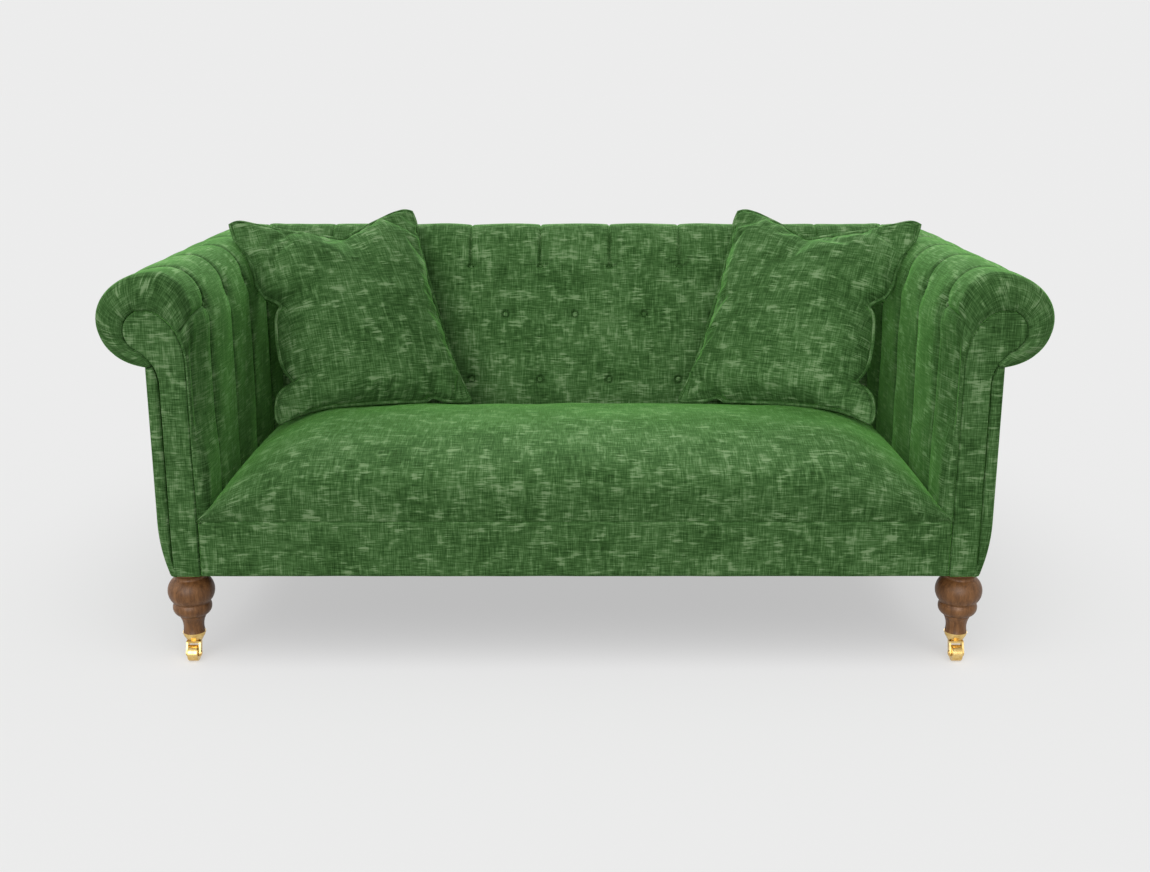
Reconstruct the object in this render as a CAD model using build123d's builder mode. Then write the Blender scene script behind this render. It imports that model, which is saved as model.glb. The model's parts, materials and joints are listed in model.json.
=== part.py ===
"""Scroll-arm two-seater sofa on brass castors, built as the upholsterer builds it.

X runs along the sofa, Y from front to back, Z up; the origin is on the floor under the middle.
"""
import os
from math import cos, radians, sin, sqrt

from build123d import *

os.makedirs("parts", exist_ok=True)

# Overall sizes in mm
overall_width = 1750.0
overall_depth = 940.0
crest_height = 770.0
base_height = 193.0
border_height = 110.0
seat_height = 440.0

# Section shared by the rolled arms and back, measured outward from the inside face
roll_width = 187.0
roll_overhang = 86.0
crest_setback = 75.0
roll_drop = 88.0
roll_under = 84.0
shoulder_drop = 120.0
back_rake = 75.0

# Timber core of that section, which is also the outline of the front facing
core_setback = 23.0
core_width = 53.0
head_setback = 74.0
head_drop = 105.0
head_radius = 38.0
core_curve_drop = 170.0
waist_drop = 205.0
rail_drop = 180.0

# Thicknesses and fits
fit = 0.3
cover_thickness = 12.0
seat_wrap = 10.0
border_thickness = 8.0
panel_thickness = 6.0
facing_thickness = 10.0
facing_inset = 4.0
post_thickness = 25.0
rail_thickness = 25.0
strap_thickness = 2.5
strap_width = 50.0
cloth_thickness = 1.5
dust_thickness = 1.5
rim_depth = 40.0
rim_radius = 32.0
return_depth = 24.0
return_radius = 12.0
tuck = 18.0
tuck_rise = 107.0

# Seat form
lip_rise = 82.0
lip_run = 65.0
flat_run = 170.0
side_run = 200.0
side_crown = 6.0

# Deep buttoning
button_pitch = 162.0
row_heights = (681.0, 572.0, 423.0)
arm_row_height = 700.0
arm_first_button = 115.0
arm_buttons = 4
tuft_radius = 70.0
tuft_depth = 8.0
button_radius = 10.0
button_height = 6.0
pleat_width = 4.0
pleat_depth = 5.0

# Sinuous seat springs
spring_count = 7
spring_pitch = 180.0
spring_wire = 3.6
spring_half_width = 24.0
spring_bars = 20
clip_length = 16.0
clip_wall = 1.4

# Legs and castors
leg_from_side = 126.0
front_leg_setback = 67.0
rear_leg_setback = 135.0
collar_radius = 38.5
bulb_radius = 45.0
bead_radius = 37.5
neck_radius = 20.0
flare_radius = 25.0
bead_foot_radius = 28.0
bead_top_radius = 35.0
waist_radius = 31.0
spigot_radius = 17.5
bolt_radius = 5.0
bolt_in_leg = 45.0
bolt_in_frame = 55.0
wheel_radius = 16.0
wheel_width = 20.0
trail = 13.0
axle_radius = 3.0
pin_radius = 4.5
running_clearance = 0.05
wheel_side_gap = 0.6
fork_plate = 3.5
fork_top = 4.5
fork_headroom = 3.2
fork_end_radius = 7.0
crown_radius = 13.5
cup_floor = 6.0
cup_wall = 3.0
cup_height = 17.0
cup_gap = 0.4

# Scatter cushions, placed in the corners
cushion_width = 409.0
cushion_tall = 453.0
cushion_thickness = 140.0
cushion_draw = 20.0
cushion_chop = 34.0
cushion_cloth = 2.5
piping_radius = 4.0
cushion_from_arm = 192.0
cushion_from_back = 205.5
cushion_on_seat = 174.8
cushion_yaw = 31.5
cushion_lean = 33.5
cushion_roll = -1.3

# Places that follow from the sizes above
half_width = overall_width / 2
half_depth = overall_depth / 2
arm_x = half_width - roll_width
back_y = half_depth - roll_width
front_y = -half_depth
shoulder_z = crest_height - shoulder_drop
roll_z = crest_height - roll_drop
notch_z = roll_z - roll_under
notch_u = roll_width - roll_overhang
border_top = base_height + border_height
core_out = core_setback + core_width
head_u = core_setback + head_setback
head_z = crest_height - head_drop
head_top = head_z + head_radius
core_curve_z = crest_height - core_curve_drop
waist_z = crest_height - waist_drop
rail_z = crest_height - rail_drop
facing_y = front_y + facing_inset
post_y = facing_y + facing_thickness
post_back_y = post_y + post_thickness
border_y = post_y - border_thickness
rim_back_y = front_y + rim_depth
frame_top = border_top - 11.0
wire_z = frame_top + spring_wire / 2 + 0.1
cloth_z = frame_top + spring_wire + 0.4
foot_z = cloth_z + cloth_thickness + 0.1
core_x = arm_x + core_setback
core_y = back_y + core_setback
pad_inset = cover_thickness + fit
strap_u = core_setback - strap_thickness - fit
panel_u = notch_u - panel_thickness
cushion_from_middle = arm_x - cushion_from_arm
cushion_back = back_y - cushion_from_back
cushion_centre_height = seat_height + cushion_on_seat


def arm_plane(y):
    """Cross plane of the right arm, local x outward and local y up."""
    return Plane(origin=(arm_x, y, 0), x_dir=(1, 0, 0), z_dir=(0, -1, 0))


def back_plane(x):
    """Cross plane of the back, local x rearward and local y up."""
    return Plane(origin=(x, back_y, 0), x_dir=(0, 1, 0), z_dir=(1, 0, 0))


def section(plane, inset, foot, inner_u, rake=0.0):
    """Rolled section from its foot over the crest to the notch, closed at inner_u."""
    under = notch_z + inset
    with BuildSketch(plane) as face:
        with BuildLine():
            Line((inset - rake, foot), (inset, shoulder_z))
            EllipticalCenterArc(
                (crest_setback, shoulder_z), crest_setback - inset, shoulder_drop - inset, 90, arc_size=90
            )
            EllipticalCenterArc(
                (crest_setback, roll_z), roll_width - crest_setback - inset, roll_drop - inset, 0, arc_size=90
            )
            EllipticalCenterArc((notch_u, roll_z), roll_overhang - inset, roll_under - inset, 270, arc_size=90)
            Polyline((notch_u, under), (inner_u, under), (inner_u, foot), (inset - rake, foot))
        make_face()
    return face.sketch


def corner_section(plane, inset):
    """The rolled top alone, for the quarter turn at a rear corner."""
    under = notch_z + inset
    with BuildSketch(plane) as face:
        with BuildLine():
            Line((inset, under), (inset, shoulder_z))
            EllipticalCenterArc(
                (crest_setback, shoulder_z), crest_setback - inset, shoulder_drop - inset, 90, arc_size=90
            )
            EllipticalCenterArc(
                (crest_setback, roll_z), roll_width - crest_setback - inset, roll_drop - inset, 0, arc_size=90
            )
            EllipticalCenterArc((notch_u, roll_z), roll_overhang - inset, roll_under - inset, 270, arc_size=90)
            Line((notch_u, under), (inset, under))
        make_face()
    return face.sketch


def roll_groove(plane, foot):
    """Thin band just under the surface of the section, cut out as a sewn pleat."""
    with BuildSketch(plane) as band:
        with BuildLine():
            for inset in (-1.0, pleat_depth):
                Line((inset, foot), (inset, shoulder_z))
                EllipticalCenterArc(
                    (crest_setback, shoulder_z), crest_setback - inset, shoulder_drop - inset, 90, arc_size=90
                )
                EllipticalCenterArc(
                    (crest_setback, roll_z), roll_width - crest_setback - inset, roll_drop - inset, 0, arc_size=90
                )
            Line((-1.0, foot), (pleat_depth, foot))
            Line((roll_width + 1.0, roll_z), (roll_width - pleat_depth, roll_z))
        make_face()
    return band.sketch


def core(plane, grow, low):
    """Outline of the front post: a straight stem under a scroll head, above the height low."""
    turn = radians(-52.0)
    reach = head_radius + grow
    tip = (head_u + reach * cos(turn), head_z + reach * sin(turn))
    waist = (core_out + grow, waist_z)
    hollow = ((tip[0] + waist[0]) / 2 - 10 + 0.8 * grow, (tip[1] + waist[1]) / 2 + 6 - 0.6 * grow)
    rise = head_top - core_curve_z + grow
    with BuildSketch(plane) as face:
        with BuildLine():
            Line((core_setback - grow, base_height), (core_setback - grow, core_curve_z))
            EllipticalCenterArc((head_u, core_curve_z), head_setback + grow, rise, 90, arc_size=90)
            CenterArc((head_u, head_z), reach, -52, 142)
            ThreePointArc(tip, hollow, waist)
            Polyline(waist, (core_out + grow, base_height), (core_setback - grow, base_height))
        make_face()
        if low > base_height:
            with Locations((head_u, low)):
                Rectangle(4 * roll_width, head_top, align=(Align.CENTER, Align.MIN), mode=Mode.INTERSECT)
    return face.sketch


def side_panel(plane, inner, top):
    """Outside cover section: flat, then drawn in under the frame at the bottom."""
    bend_z = base_height + tuck_rise
    toe_u = notch_u - tuck
    with BuildSketch(plane) as face:
        with BuildLine():
            Line((notch_u, top), (notch_u, bend_z))
            TangentArc((notch_u, bend_z), (toe_u, base_height), tangent=(0, -1))
            if inner is None:
                Line((toe_u, base_height), (toe_u - panel_thickness, base_height))
                TangentArc((panel_u, bend_z), (toe_u - panel_thickness, base_height), tangent=(0, -1))
                Polyline((panel_u, bend_z), (panel_u, top), (notch_u, top))
            else:
                Polyline((toe_u, base_height), (inner, base_height), (inner, top), (notch_u, top))
        make_face()
    return face.sketch


def corner_axis(side):
    """Upright axis of a rear corner, turning from the arm to the back."""
    return Axis((side * arm_x, back_y, 0), (0, 0, side))


def corner_plane(side):
    """Section plane at the rear end of an arm."""
    return Plane(origin=(side * arm_x, back_y, 0), x_dir=(side, 0, 0), z_dir=(0, -side, 0))


def face_u(z):
    """Outward distance of the rolled inside face at a height above the shoulder."""
    rise = max(z - shoulder_z, 0.0) / shoulder_drop
    return crest_setback * (1 - sqrt(1 - rise * rise))


def face_tilt(z):
    """How far the rolled inside face leans back from upright at a height, as a unit normal."""
    rise = max(z - shoulder_z, 0.0) / shoulder_drop
    across = sqrt(1 - rise * rise) / crest_setback
    up = rise / shoulder_drop
    size = sqrt(across * across + up * up)
    return across / size, up / size


# Where the buttons are drawn in: a point on the face and its outward normal
def back_tufts():
    """Three staggered rows on the inside back."""
    tufts = []
    rake_run = shoulder_z - foot_z
    rake_size = sqrt(rake_run * rake_run + back_rake * back_rake)
    for row, z in enumerate(row_heights):
        count = 7 if row == 1 else 8
        if z > shoulder_z:
            y = back_y + face_u(z)
            across, up = face_tilt(z)
        else:
            y = back_y - back_rake * (shoulder_z - z) / rake_run
            across = rake_run / rake_size
            up = back_rake / rake_size
        for i in range(count):
            x = (i - (count - 1) / 2) * button_pitch
            tufts.append(((x, y, z), (0, -across, up)))
    return tufts


def arm_tufts():
    """One row along the right inside arm."""
    across, up = face_tilt(arm_row_height)
    x = arm_x + face_u(arm_row_height)
    return [
        ((x, front_y + arm_first_button + i * button_pitch, arm_row_height), (-across, 0, up))
        for i in range(arm_buttons)
    ]


def along(tuft, distance):
    """A point at a distance out from a tuft's face along its normal."""
    return tuple(p + n * distance for p, n in zip(tuft[0], tuft[1]))


# Inside arm covers: fabric and wadding, buttoned and pleated, with the stuffed front rim
with BuildPart() as right_inside_arm_cover:
    extrude(section(arm_plane(front_y), 0, border_top + fit, core_out), amount=back_y - front_y, dir=(0, 1, 0))
    front_edges = right_inside_arm_cover.edges().group_by(Axis.Y)[0]
    rim_edges = front_edges.filter_by(GeomType.ELLIPSE)
    rim_edges += front_edges.filter_by(GeomType.LINE).group_by(Axis.X)[0]
    fillet(rim_edges, radius=rim_radius)
    extrude(
        section(arm_plane(rim_back_y), cover_thickness, foot_z - 1, core_out + 1),
        amount=back_y - rim_back_y,
        dir=(0, 1, 0),
        mode=Mode.SUBTRACT,
    )
    extrude(core(arm_plane(front_y), fit, base_height), amount=overall_depth, dir=(0, 1, 0), mode=Mode.SUBTRACT)
    for tuft in arm_tufts():
        with Locations(along(tuft, tuft_radius - tuft_depth)):
            Sphere(tuft_radius, mode=Mode.SUBTRACT)
        extrude(
            roll_groove(arm_plane(tuft[0][1] - pleat_width / 2), foot_z),
            amount=pleat_width,
            dir=(0, 1, 0),
            mode=Mode.SUBTRACT,
        )
right_inside_arm_cover.part.label = "right_inside_arm_cover"
export_step(right_inside_arm_cover.part, "parts/right_inside_arm_cover.step")

with BuildPart() as left_inside_arm_cover:
    mirror(right_inside_arm_cover.part, about=Plane.YZ)
left_inside_arm_cover.part.label = "left_inside_arm_cover"
export_step(left_inside_arm_cover.part, "parts/left_inside_arm_cover.step")

# Arm pads: shaped filling between the cover and the timber
with BuildPart() as right_arm_pad:
    extrude(
        section(arm_plane(rim_back_y + fit), pad_inset, foot_z, strap_u),
        amount=back_y - rim_back_y - fit,
        dir=(0, 1, 0),
    )
    extrude(core(arm_plane(front_y), fit, base_height), amount=overall_depth, dir=(0, 1, 0), mode=Mode.SUBTRACT)
right_arm_pad.part.label = "right_arm_pad"
export_step(right_arm_pad.part, "parts/right_arm_pad.step")

with BuildPart() as left_arm_pad:
    mirror(right_arm_pad.part, about=Plane.YZ)
left_arm_pad.part.label = "left_arm_pad"
export_step(left_arm_pad.part, "parts/left_arm_pad.step")

# Facings: padded board faces in the outline of the post
with BuildPart() as right_arm_facing:
    extrude(core(arm_plane(facing_y), 0, base_height), amount=facing_thickness, dir=(0, 1, 0))
    fillet(right_arm_facing.edges().group_by(Axis.Y)[0], radius=3.0)
right_arm_facing.part.label = "right_arm_facing"
export_step(right_arm_facing.part, "parts/right_arm_facing.step")

with BuildPart() as left_arm_facing:
    mirror(right_arm_facing.part, about=Plane.YZ)
left_arm_facing.part.label = "left_arm_facing"
export_step(left_arm_facing.part, "parts/left_arm_facing.step")

# Outside arm covers: a flat panel with a rounded return at the front
with BuildPart() as right_outside_arm_cover:
    extrude(side_panel(arm_plane(facing_y), core_setback, notch_z), amount=return_depth, dir=(0, 1, 0))
    return_face = right_outside_arm_cover.edges().group_by(Axis.Y)[0]
    return_edges = return_face.filter_by(GeomType.LINE).group_by(Axis.X)[-1]
    return_edges += return_face.filter_by(GeomType.CIRCLE)
    fillet(return_edges, radius=return_radius)
    extrude(core(arm_plane(front_y), fit, base_height), amount=overall_depth, dir=(0, 1, 0), mode=Mode.SUBTRACT)
    extrude(
        side_panel(arm_plane(facing_y + return_depth), None, notch_z),
        amount=overall_depth,
        dir=(0, 1, 0),
    )
    extrude(
        side_panel(back_plane(0), -overall_depth, notch_z + 1),
        amount=overall_width,
        dir=(1, 0, 0),
        mode=Mode.INTERSECT,
    )
right_outside_arm_cover.part.label = "right_outside_arm_cover"
export_step(right_outside_arm_cover.part, "parts/right_outside_arm_cover.step")

with BuildPart() as left_outside_arm_cover:
    mirror(right_outside_arm_cover.part, about=Plane.YZ)
left_outside_arm_cover.part.label = "left_outside_arm_cover"
export_step(left_outside_arm_cover.part, "parts/left_outside_arm_cover.step")

# Inside back cover: buttoned, pleated over the crest and turned round both rear corners
with BuildPart() as inside_back_cover:
    extrude(section(back_plane(-arm_x), 0, foot_z, core_out, back_rake), amount=2 * arm_x, dir=(1, 0, 0))
    for side in (1, -1):
        revolve(corner_section(corner_plane(side), 0), axis=corner_axis(side), revolution_arc=90)
    extrude(
        section(back_plane(-arm_x), cover_thickness, foot_z - 1, core_out + 1, back_rake),
        amount=2 * arm_x,
        dir=(1, 0, 0),
        mode=Mode.SUBTRACT,
    )
    extrude(core(back_plane(-arm_x), fit, base_height), amount=2 * arm_x, dir=(1, 0, 0), mode=Mode.SUBTRACT)
    for side in (1, -1):
        revolve(
            corner_section(corner_plane(side), cover_thickness),
            axis=corner_axis(side),
            revolution_arc=90,
            mode=Mode.SUBTRACT,
        )
        revolve(
            core(corner_plane(side), fit, rail_z - 1),
            axis=corner_axis(side),
            revolution_arc=90,
            mode=Mode.SUBTRACT,
        )
    for tuft in back_tufts():
        with Locations(along(tuft, tuft_radius - tuft_depth)):
            Sphere(tuft_radius, mode=Mode.SUBTRACT)
        if tuft[0][2] == row_heights[0]:
            extrude(
                roll_groove(back_plane(tuft[0][0] - pleat_width / 2), shoulder_z - 1),
                amount=pleat_width,
                dir=(1, 0, 0),
                mode=Mode.SUBTRACT,
            )
inside_back_cover.part.label = "inside_back_cover"
export_step(inside_back_cover.part, "parts/inside_back_cover.step")

# Back pad: wedge of filling that also fills the rolled corners
with BuildPart() as back_pad:
    extrude(section(back_plane(-arm_x), pad_inset, foot_z, strap_u, back_rake), amount=2 * arm_x, dir=(1, 0, 0))
    for side in (1, -1):
        revolve(corner_section(corner_plane(side), pad_inset), axis=corner_axis(side), revolution_arc=90)
    extrude(core(back_plane(-arm_x), fit, base_height), amount=2 * arm_x, dir=(1, 0, 0), mode=Mode.SUBTRACT)
    for side in (1, -1):
        revolve(
            core(corner_plane(side), fit, rail_z - 1),
            axis=corner_axis(side),
            revolution_arc=90,
            mode=Mode.SUBTRACT,
        )
back_pad.part.label = "back_pad"
export_step(back_pad.part, "parts/back_pad.step")

# Outside back cover, cut to lie between the two outside arm covers
with BuildPart() as outside_back_cover:
    extrude(side_panel(back_plane(-half_width), None, notch_z), amount=overall_width, dir=(1, 0, 0))
    between = Plane(
        origin=(arm_x - panel_thickness - fit, front_y, 0), x_dir=(1, 0, 0), z_dir=(0, -1, 0)
    )
    right_limit = side_panel(between, -overall_width, notch_z + 1)
    extrude(right_limit, amount=overall_depth, dir=(0, 1, 0), mode=Mode.INTERSECT)
    extrude(
        mirror(right_limit, about=Plane.YZ, mode=Mode.PRIVATE),
        amount=overall_depth,
        dir=(0, 1, 0),
        mode=Mode.INTERSECT,
    )
outside_back_cover.part.label = "outside_back_cover"
export_step(outside_back_cover.part, "parts/outside_back_cover.step")


# Seat: crowned along and across, pulled down into the arms, the back and the front seam
seat_rear = back_y - back_rake * (shoulder_z - border_top) / (shoulder_z - foot_z) - fit
seat_side_x = arm_x - fit
crown_y = border_y + lip_run + flat_run
lip_z = border_top + lip_rise


def seat_length(inset, drop):
    """Front-to-back outline of the seat: upright front, rounded lip, long fall to the back."""
    front = border_y + inset
    rear = seat_rear - inset
    with BuildSketch(Plane.YZ) as face:
        with BuildLine():
            Line((front, border_top - drop), (front, lip_z))
            EllipticalCenterArc(
                (border_y + lip_run, lip_z), lip_run - inset, seat_height - lip_z - inset, 90, arc_size=90
            )
            Line((border_y + lip_run, seat_height - inset), (crown_y, seat_height - inset))
            EllipticalCenterArc(
                (crown_y, border_top), rear - crown_y, seat_height - border_top - inset, 0, arc_size=90
            )
            if drop > 0:
                Line((rear, border_top), (rear, border_top - drop))
            Line((rear, border_top - drop), (front, border_top - drop))
        make_face()
    return face.sketch


def seat_breadth(inset, drop):
    """Side-to-side outline of the seat, falling away towards both arms."""
    side = seat_side_x - inset
    start = seat_side_x - side_run
    top = seat_height - side_crown - inset
    with BuildSketch(Plane.XZ) as face:
        with BuildLine():
            ThreePointArc((-start, top), (0, top + 2 * side_crown), (start, top))
            EllipticalCenterArc((start, border_top), side_run - inset, top - border_top, 0, arc_size=90)
            EllipticalCenterArc((-start, border_top), side_run - inset, top - border_top, 90, arc_size=90)
            if drop > 0:
                Line((side, border_top), (side, border_top - drop))
                Line((-side, border_top), (-side, border_top - drop))
            Line((side, border_top - drop), (-side, border_top - drop))
        make_face()
    return face.sketch


with BuildPart() as seat_hollow:
    extrude(seat_length(seat_wrap, 1.0), amount=half_width, both=True)
    extrude(seat_breadth(seat_wrap, 1.0), amount=half_depth, both=True, mode=Mode.INTERSECT)

with BuildPart() as seat_cover:
    extrude(seat_length(0, 0), amount=half_width, both=True)
    extrude(seat_breadth(0, 0), amount=half_depth, both=True, mode=Mode.INTERSECT)
    add(seat_hollow.part, mode=Mode.SUBTRACT)
seat_cover.part.label = "seat_cover"
export_step(seat_cover.part, "parts/seat_cover.step")

with BuildPart() as seat_pad:
    extrude(seat_length(seat_wrap + fit, border_top - foot_z), amount=half_width, both=True)
    extrude(seat_breadth(seat_wrap + fit, border_top - foot_z), amount=half_depth, both=True, mode=Mode.INTERSECT)
seat_pad.part.label = "seat_pad"
export_step(seat_pad.part, "parts/seat_pad.step")


def block(x0, x1, y0, y1, z0, z1, mode=Mode.ADD):
    """Plain board between two corners."""
    with Locations(((x0 + x1) / 2, (y0 + y1) / 2, (z0 + z1) / 2)):
        Box(x1 - x0, y1 - y0, z1 - z0, mode=mode)


with BuildPart() as front_border:
    block(-core_x + fit, core_x - fit, border_y, post_y, base_height, border_top)
    fillet(front_border.edges().filter_by(Axis.X).group_by(Axis.Y)[0], radius=3.0)
front_border.part.label = "front_border"
export_step(front_border.part, "parts/front_border.step")

# Timber frame
block_leg = 80.0
block_height = 58.0
upright_width = 45.0
stretcher_width = 44.0
rail_end_x = core_x + core_width

with BuildPart() as front_rail:
    block(-core_x, core_x, post_y, post_back_y, base_height, frame_top)
front_rail.part.label = "front_rail"
export_step(front_rail.part, "parts/front_rail.step")

with BuildPart() as rear_rail:
    block(-core_x, core_x, core_y, core_y + rail_thickness, base_height, frame_top)
rear_rail.part.label = "rear_rail"
export_step(rear_rail.part, "parts/rear_rail.step")

leg_x = half_width - leg_from_side
front_leg_y = front_y + front_leg_setback
rear_leg_y = half_depth - rear_leg_setback
bolt_bore = bolt_radius + running_clearance

with BuildPart() as right_side_rail:
    block(core_x, rail_end_x, post_back_y, core_y, base_height, frame_top)
    with Locations((leg_x, front_leg_y, base_height)):
        Cylinder(
            bolt_bore,
            bolt_in_frame + 1,
            align=(Align.CENTER, Align.CENTER, Align.MIN),
            mode=Mode.SUBTRACT,
        )
right_side_rail.part.label = "right_side_rail"
export_step(right_side_rail.part, "parts/right_side_rail.step")

with BuildPart() as left_side_rail:
    mirror(right_side_rail.part, about=Plane.YZ)
left_side_rail.part.label = "left_side_rail"
export_step(left_side_rail.part, "parts/left_side_rail.step")

with BuildPart() as right_front_post:
    extrude(core(arm_plane(post_y), 0, base_height), amount=post_thickness, dir=(0, 1, 0))
right_front_post.part.label = "right_front_post"
export_step(right_front_post.part, "parts/right_front_post.step")

with BuildPart() as left_front_post:
    mirror(right_front_post.part, about=Plane.YZ)
left_front_post.part.label = "left_front_post"
export_step(left_front_post.part, "parts/left_front_post.step")

with BuildPart() as rear_posts:
    for side in (1, -1):
        block(
            min(side * core_x, side * rail_end_x),
            max(side * core_x, side * rail_end_x),
            core_y,
            core_y + core_width,
            base_height,
            rail_z,
        )
        with Locations((side * leg_x, rear_leg_y, base_height)):
            Cylinder(
                bolt_bore,
                bolt_in_frame + 1,
                align=(Align.CENTER, Align.CENTER, Align.MIN),
                mode=Mode.SUBTRACT,
            )
rear_posts.part.label = "rear_posts"
export_step(rear_posts.part, "parts/rear_posts.step")

with BuildPart() as arm_rails:
    right_rail = extrude(core(arm_plane(post_back_y), 0, rail_z), amount=back_y - post_back_y, dir=(0, 1, 0))
    mirror(right_rail, about=Plane.YZ)
arm_rails.part.label = "arm_rails"
export_step(arm_rails.part, "parts/arm_rails.step")

with BuildPart() as back_top_rail:
    extrude(core(back_plane(-arm_x), 0, rail_z), amount=2 * arm_x, dir=(1, 0, 0))
back_top_rail.part.label = "back_top_rail"
export_step(back_top_rail.part, "parts/back_top_rail.step")

with BuildPart() as rail_corners:
    for side in (1, -1):
        revolve(core(corner_plane(side), 0, rail_z), axis=corner_axis(side), revolution_arc=90)
rail_corners.part.label = "rail_corners"
export_step(rail_corners.part, "parts/rail_corners.step")

with BuildPart() as back_uprights:
    for i in (-2.5, -0.5, 0.5, 2.5):
        middle = i * spring_pitch
        block(
            middle - upright_width / 2,
            middle + upright_width / 2,
            core_y,
            core_y + rail_thickness,
            frame_top,
            rail_z,
        )
back_uprights.part.label = "back_uprights"
export_step(back_uprights.part, "parts/back_uprights.step")

with BuildPart() as seat_stretcher:
    block(
        -stretcher_width / 2,
        stretcher_width / 2,
        post_back_y,
        core_y,
        base_height,
        base_height + block_height,
    )
seat_stretcher.part.label = "seat_stretcher"
export_step(seat_stretcher.part, "parts/seat_stretcher.step")

with BuildPart() as corner_blocks:
    for side in (1, -1):
        for corner_y, inward in ((post_back_y, 1), (core_y, -1)):
            with BuildSketch(Plane.XY.offset(base_height)):
                with BuildLine():
                    Polyline(
                        (side * core_x, corner_y),
                        (side * (core_x - block_leg), corner_y),
                        (side * core_x, corner_y + inward * block_leg),
                        close=True,
                    )
                make_face()
            extrude(amount=block_height)
corner_blocks.part.label = "corner_blocks"
export_step(corner_blocks.part, "parts/corner_blocks.step")

# Springs: zigzag wires from the front rail to the rear rail, held by a clip at each end
spring_front = (post_y + post_back_y) / 2
spring_rear = core_y + rail_thickness / 2
bar_pitch = (spring_rear - spring_front) / (spring_bars - 1)
clip_x = -10.0
zigzag = []
for bar in range(spring_bars):
    way = 1 if bar % 2 == 0 else -1
    zigzag.append((-way * spring_half_width, spring_front + bar * bar_pitch))
    zigzag.append((way * spring_half_width, spring_front + bar * bar_pitch))

with BuildPart() as one_spring:
    with BuildLine(Plane.XY.offset(wire_z)) as wire_path:
        FilletPolyline(*zigzag, radius=0.45 * bar_pitch)
    with BuildSketch(Plane(origin=wire_path.line @ 0, z_dir=wire_path.line % 0)):
        Circle(spring_wire / 2)
    sweep()

with BuildPart() as seat_springs:
    for i in range(spring_count):
        add(one_spring.part.moved(Location(((i - (spring_count - 1) / 2) * spring_pitch, 0, 0))))
seat_springs.part.label = "seat_springs"
export_step(seat_springs.part, "parts/seat_springs.step")

with BuildPart() as spring_clips:
    tunnel = spring_wire + 0.3
    for i in range(spring_count):
        middle = (i - (spring_count - 1) / 2) * spring_pitch + clip_x
        for y in (spring_front, spring_rear):
            block(
                middle - clip_length / 2,
                middle + clip_length / 2,
                y - tunnel / 2 - clip_wall,
                y + tunnel / 2 + clip_wall,
                frame_top,
                frame_top + tunnel + clip_wall,
            )
            block(
                middle - clip_length / 2,
                middle + clip_length / 2,
                y - tunnel / 2,
                y + tunnel / 2,
                frame_top,
                frame_top + tunnel,
                mode=Mode.SUBTRACT,
            )
spring_clips.part.label = "spring_clips"
export_step(spring_clips.part, "parts/spring_clips.step")

with BuildPart() as spring_cloth:
    block(
        -core_x + strap_thickness + 1,
        core_x - strap_thickness - 1,
        post_back_y + 1,
        core_y - strap_thickness - 1,
        cloth_z,
        cloth_z + cloth_thickness,
    )
spring_cloth.part.label = "spring_cloth"
export_step(spring_cloth.part, "parts/spring_cloth.step")

# Webbing straps that carry the back and arm pads
strap_low = base_height + block_height + 8.0
strap_high = rail_z + 8.0
back_straps = spring_count + 1
arm_straps = 4
arm_strap_pitch = 190.0

with BuildPart() as webbing_straps:
    for i in range(back_straps):
        middle = (i - (back_straps - 1) / 2) * spring_pitch
        block(
            middle - strap_width / 2,
            middle + strap_width / 2,
            core_y - strap_thickness,
            core_y,
            strap_low,
            strap_high,
        )
    for side in (1, -1):
        inner = side * (core_x - strap_thickness)
        for i in range(arm_straps):
            middle = (post_back_y + back_y) / 2 + (i - (arm_straps - 1) / 2) * arm_strap_pitch
            block(
                min(inner, side * core_x),
                max(inner, side * core_x),
                middle - strap_width / 2,
                middle + strap_width / 2,
                strap_low,
                strap_high,
            )
webbing_straps.part.label = "webbing_straps"
export_step(webbing_straps.part, "parts/webbing_straps.step")

with BuildPart() as dust_cover:
    block(
        -core_x + 14,
        core_x - 14,
        post_y + 6,
        core_y + rail_thickness - 6,
        base_height - dust_thickness,
        base_height,
    )
dust_cover.part.label = "dust_cover"
export_step(dust_cover.part, "parts/dust_cover.step")

# Covered buttons, each seated on the bottom of its tuft
seat_on_tuft = tuft_radius - sqrt(tuft_radius * tuft_radius - button_radius * button_radius) + 0.1
dome_rise = 0.65 * button_height
dome_radius = (button_radius * button_radius + dome_rise * dome_rise) / (2 * dome_rise)
with BuildPart() as one_button:
    Cylinder(button_radius, button_height, align=(Align.CENTER, Align.CENTER, Align.MIN))
    with Locations((0, 0, button_height - dome_radius)):
        Sphere(dome_radius, mode=Mode.INTERSECT)

with BuildPart() as buttons:
    for tuft in back_tufts():
        here = Plane(origin=along(tuft, seat_on_tuft - tuft_depth), x_dir=(1, 0, 0), z_dir=tuft[1])
        add(one_button.part.moved(Location(here)))
    for tuft in arm_tufts():
        here = Plane(origin=along(tuft, seat_on_tuft - tuft_depth), x_dir=(0, 1, 0), z_dir=tuft[1])
        arm_button = one_button.part.moved(Location(here))
        add(arm_button)
        add(mirror(arm_button, about=Plane.YZ, mode=Mode.PRIVATE))
buttons.part.label = "buttons"
export_step(buttons.part, "parts/buttons.step")

# Turned legs: collar, bulb, bead and neck above the spigot that stands in the castor cup
fork_under = 2 * wheel_radius + fork_headroom
fork_over = fork_under + fork_top
cup_under = fork_over + cup_gap
spigot_z = cup_under + cup_floor
cup_top = cup_under + cup_height
turned = base_height - cup_top


def leg_z(share):
    """Height on the turned part of the leg, from the cup's rim (0) to the frame (1)."""
    return cup_top + share * turned


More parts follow.
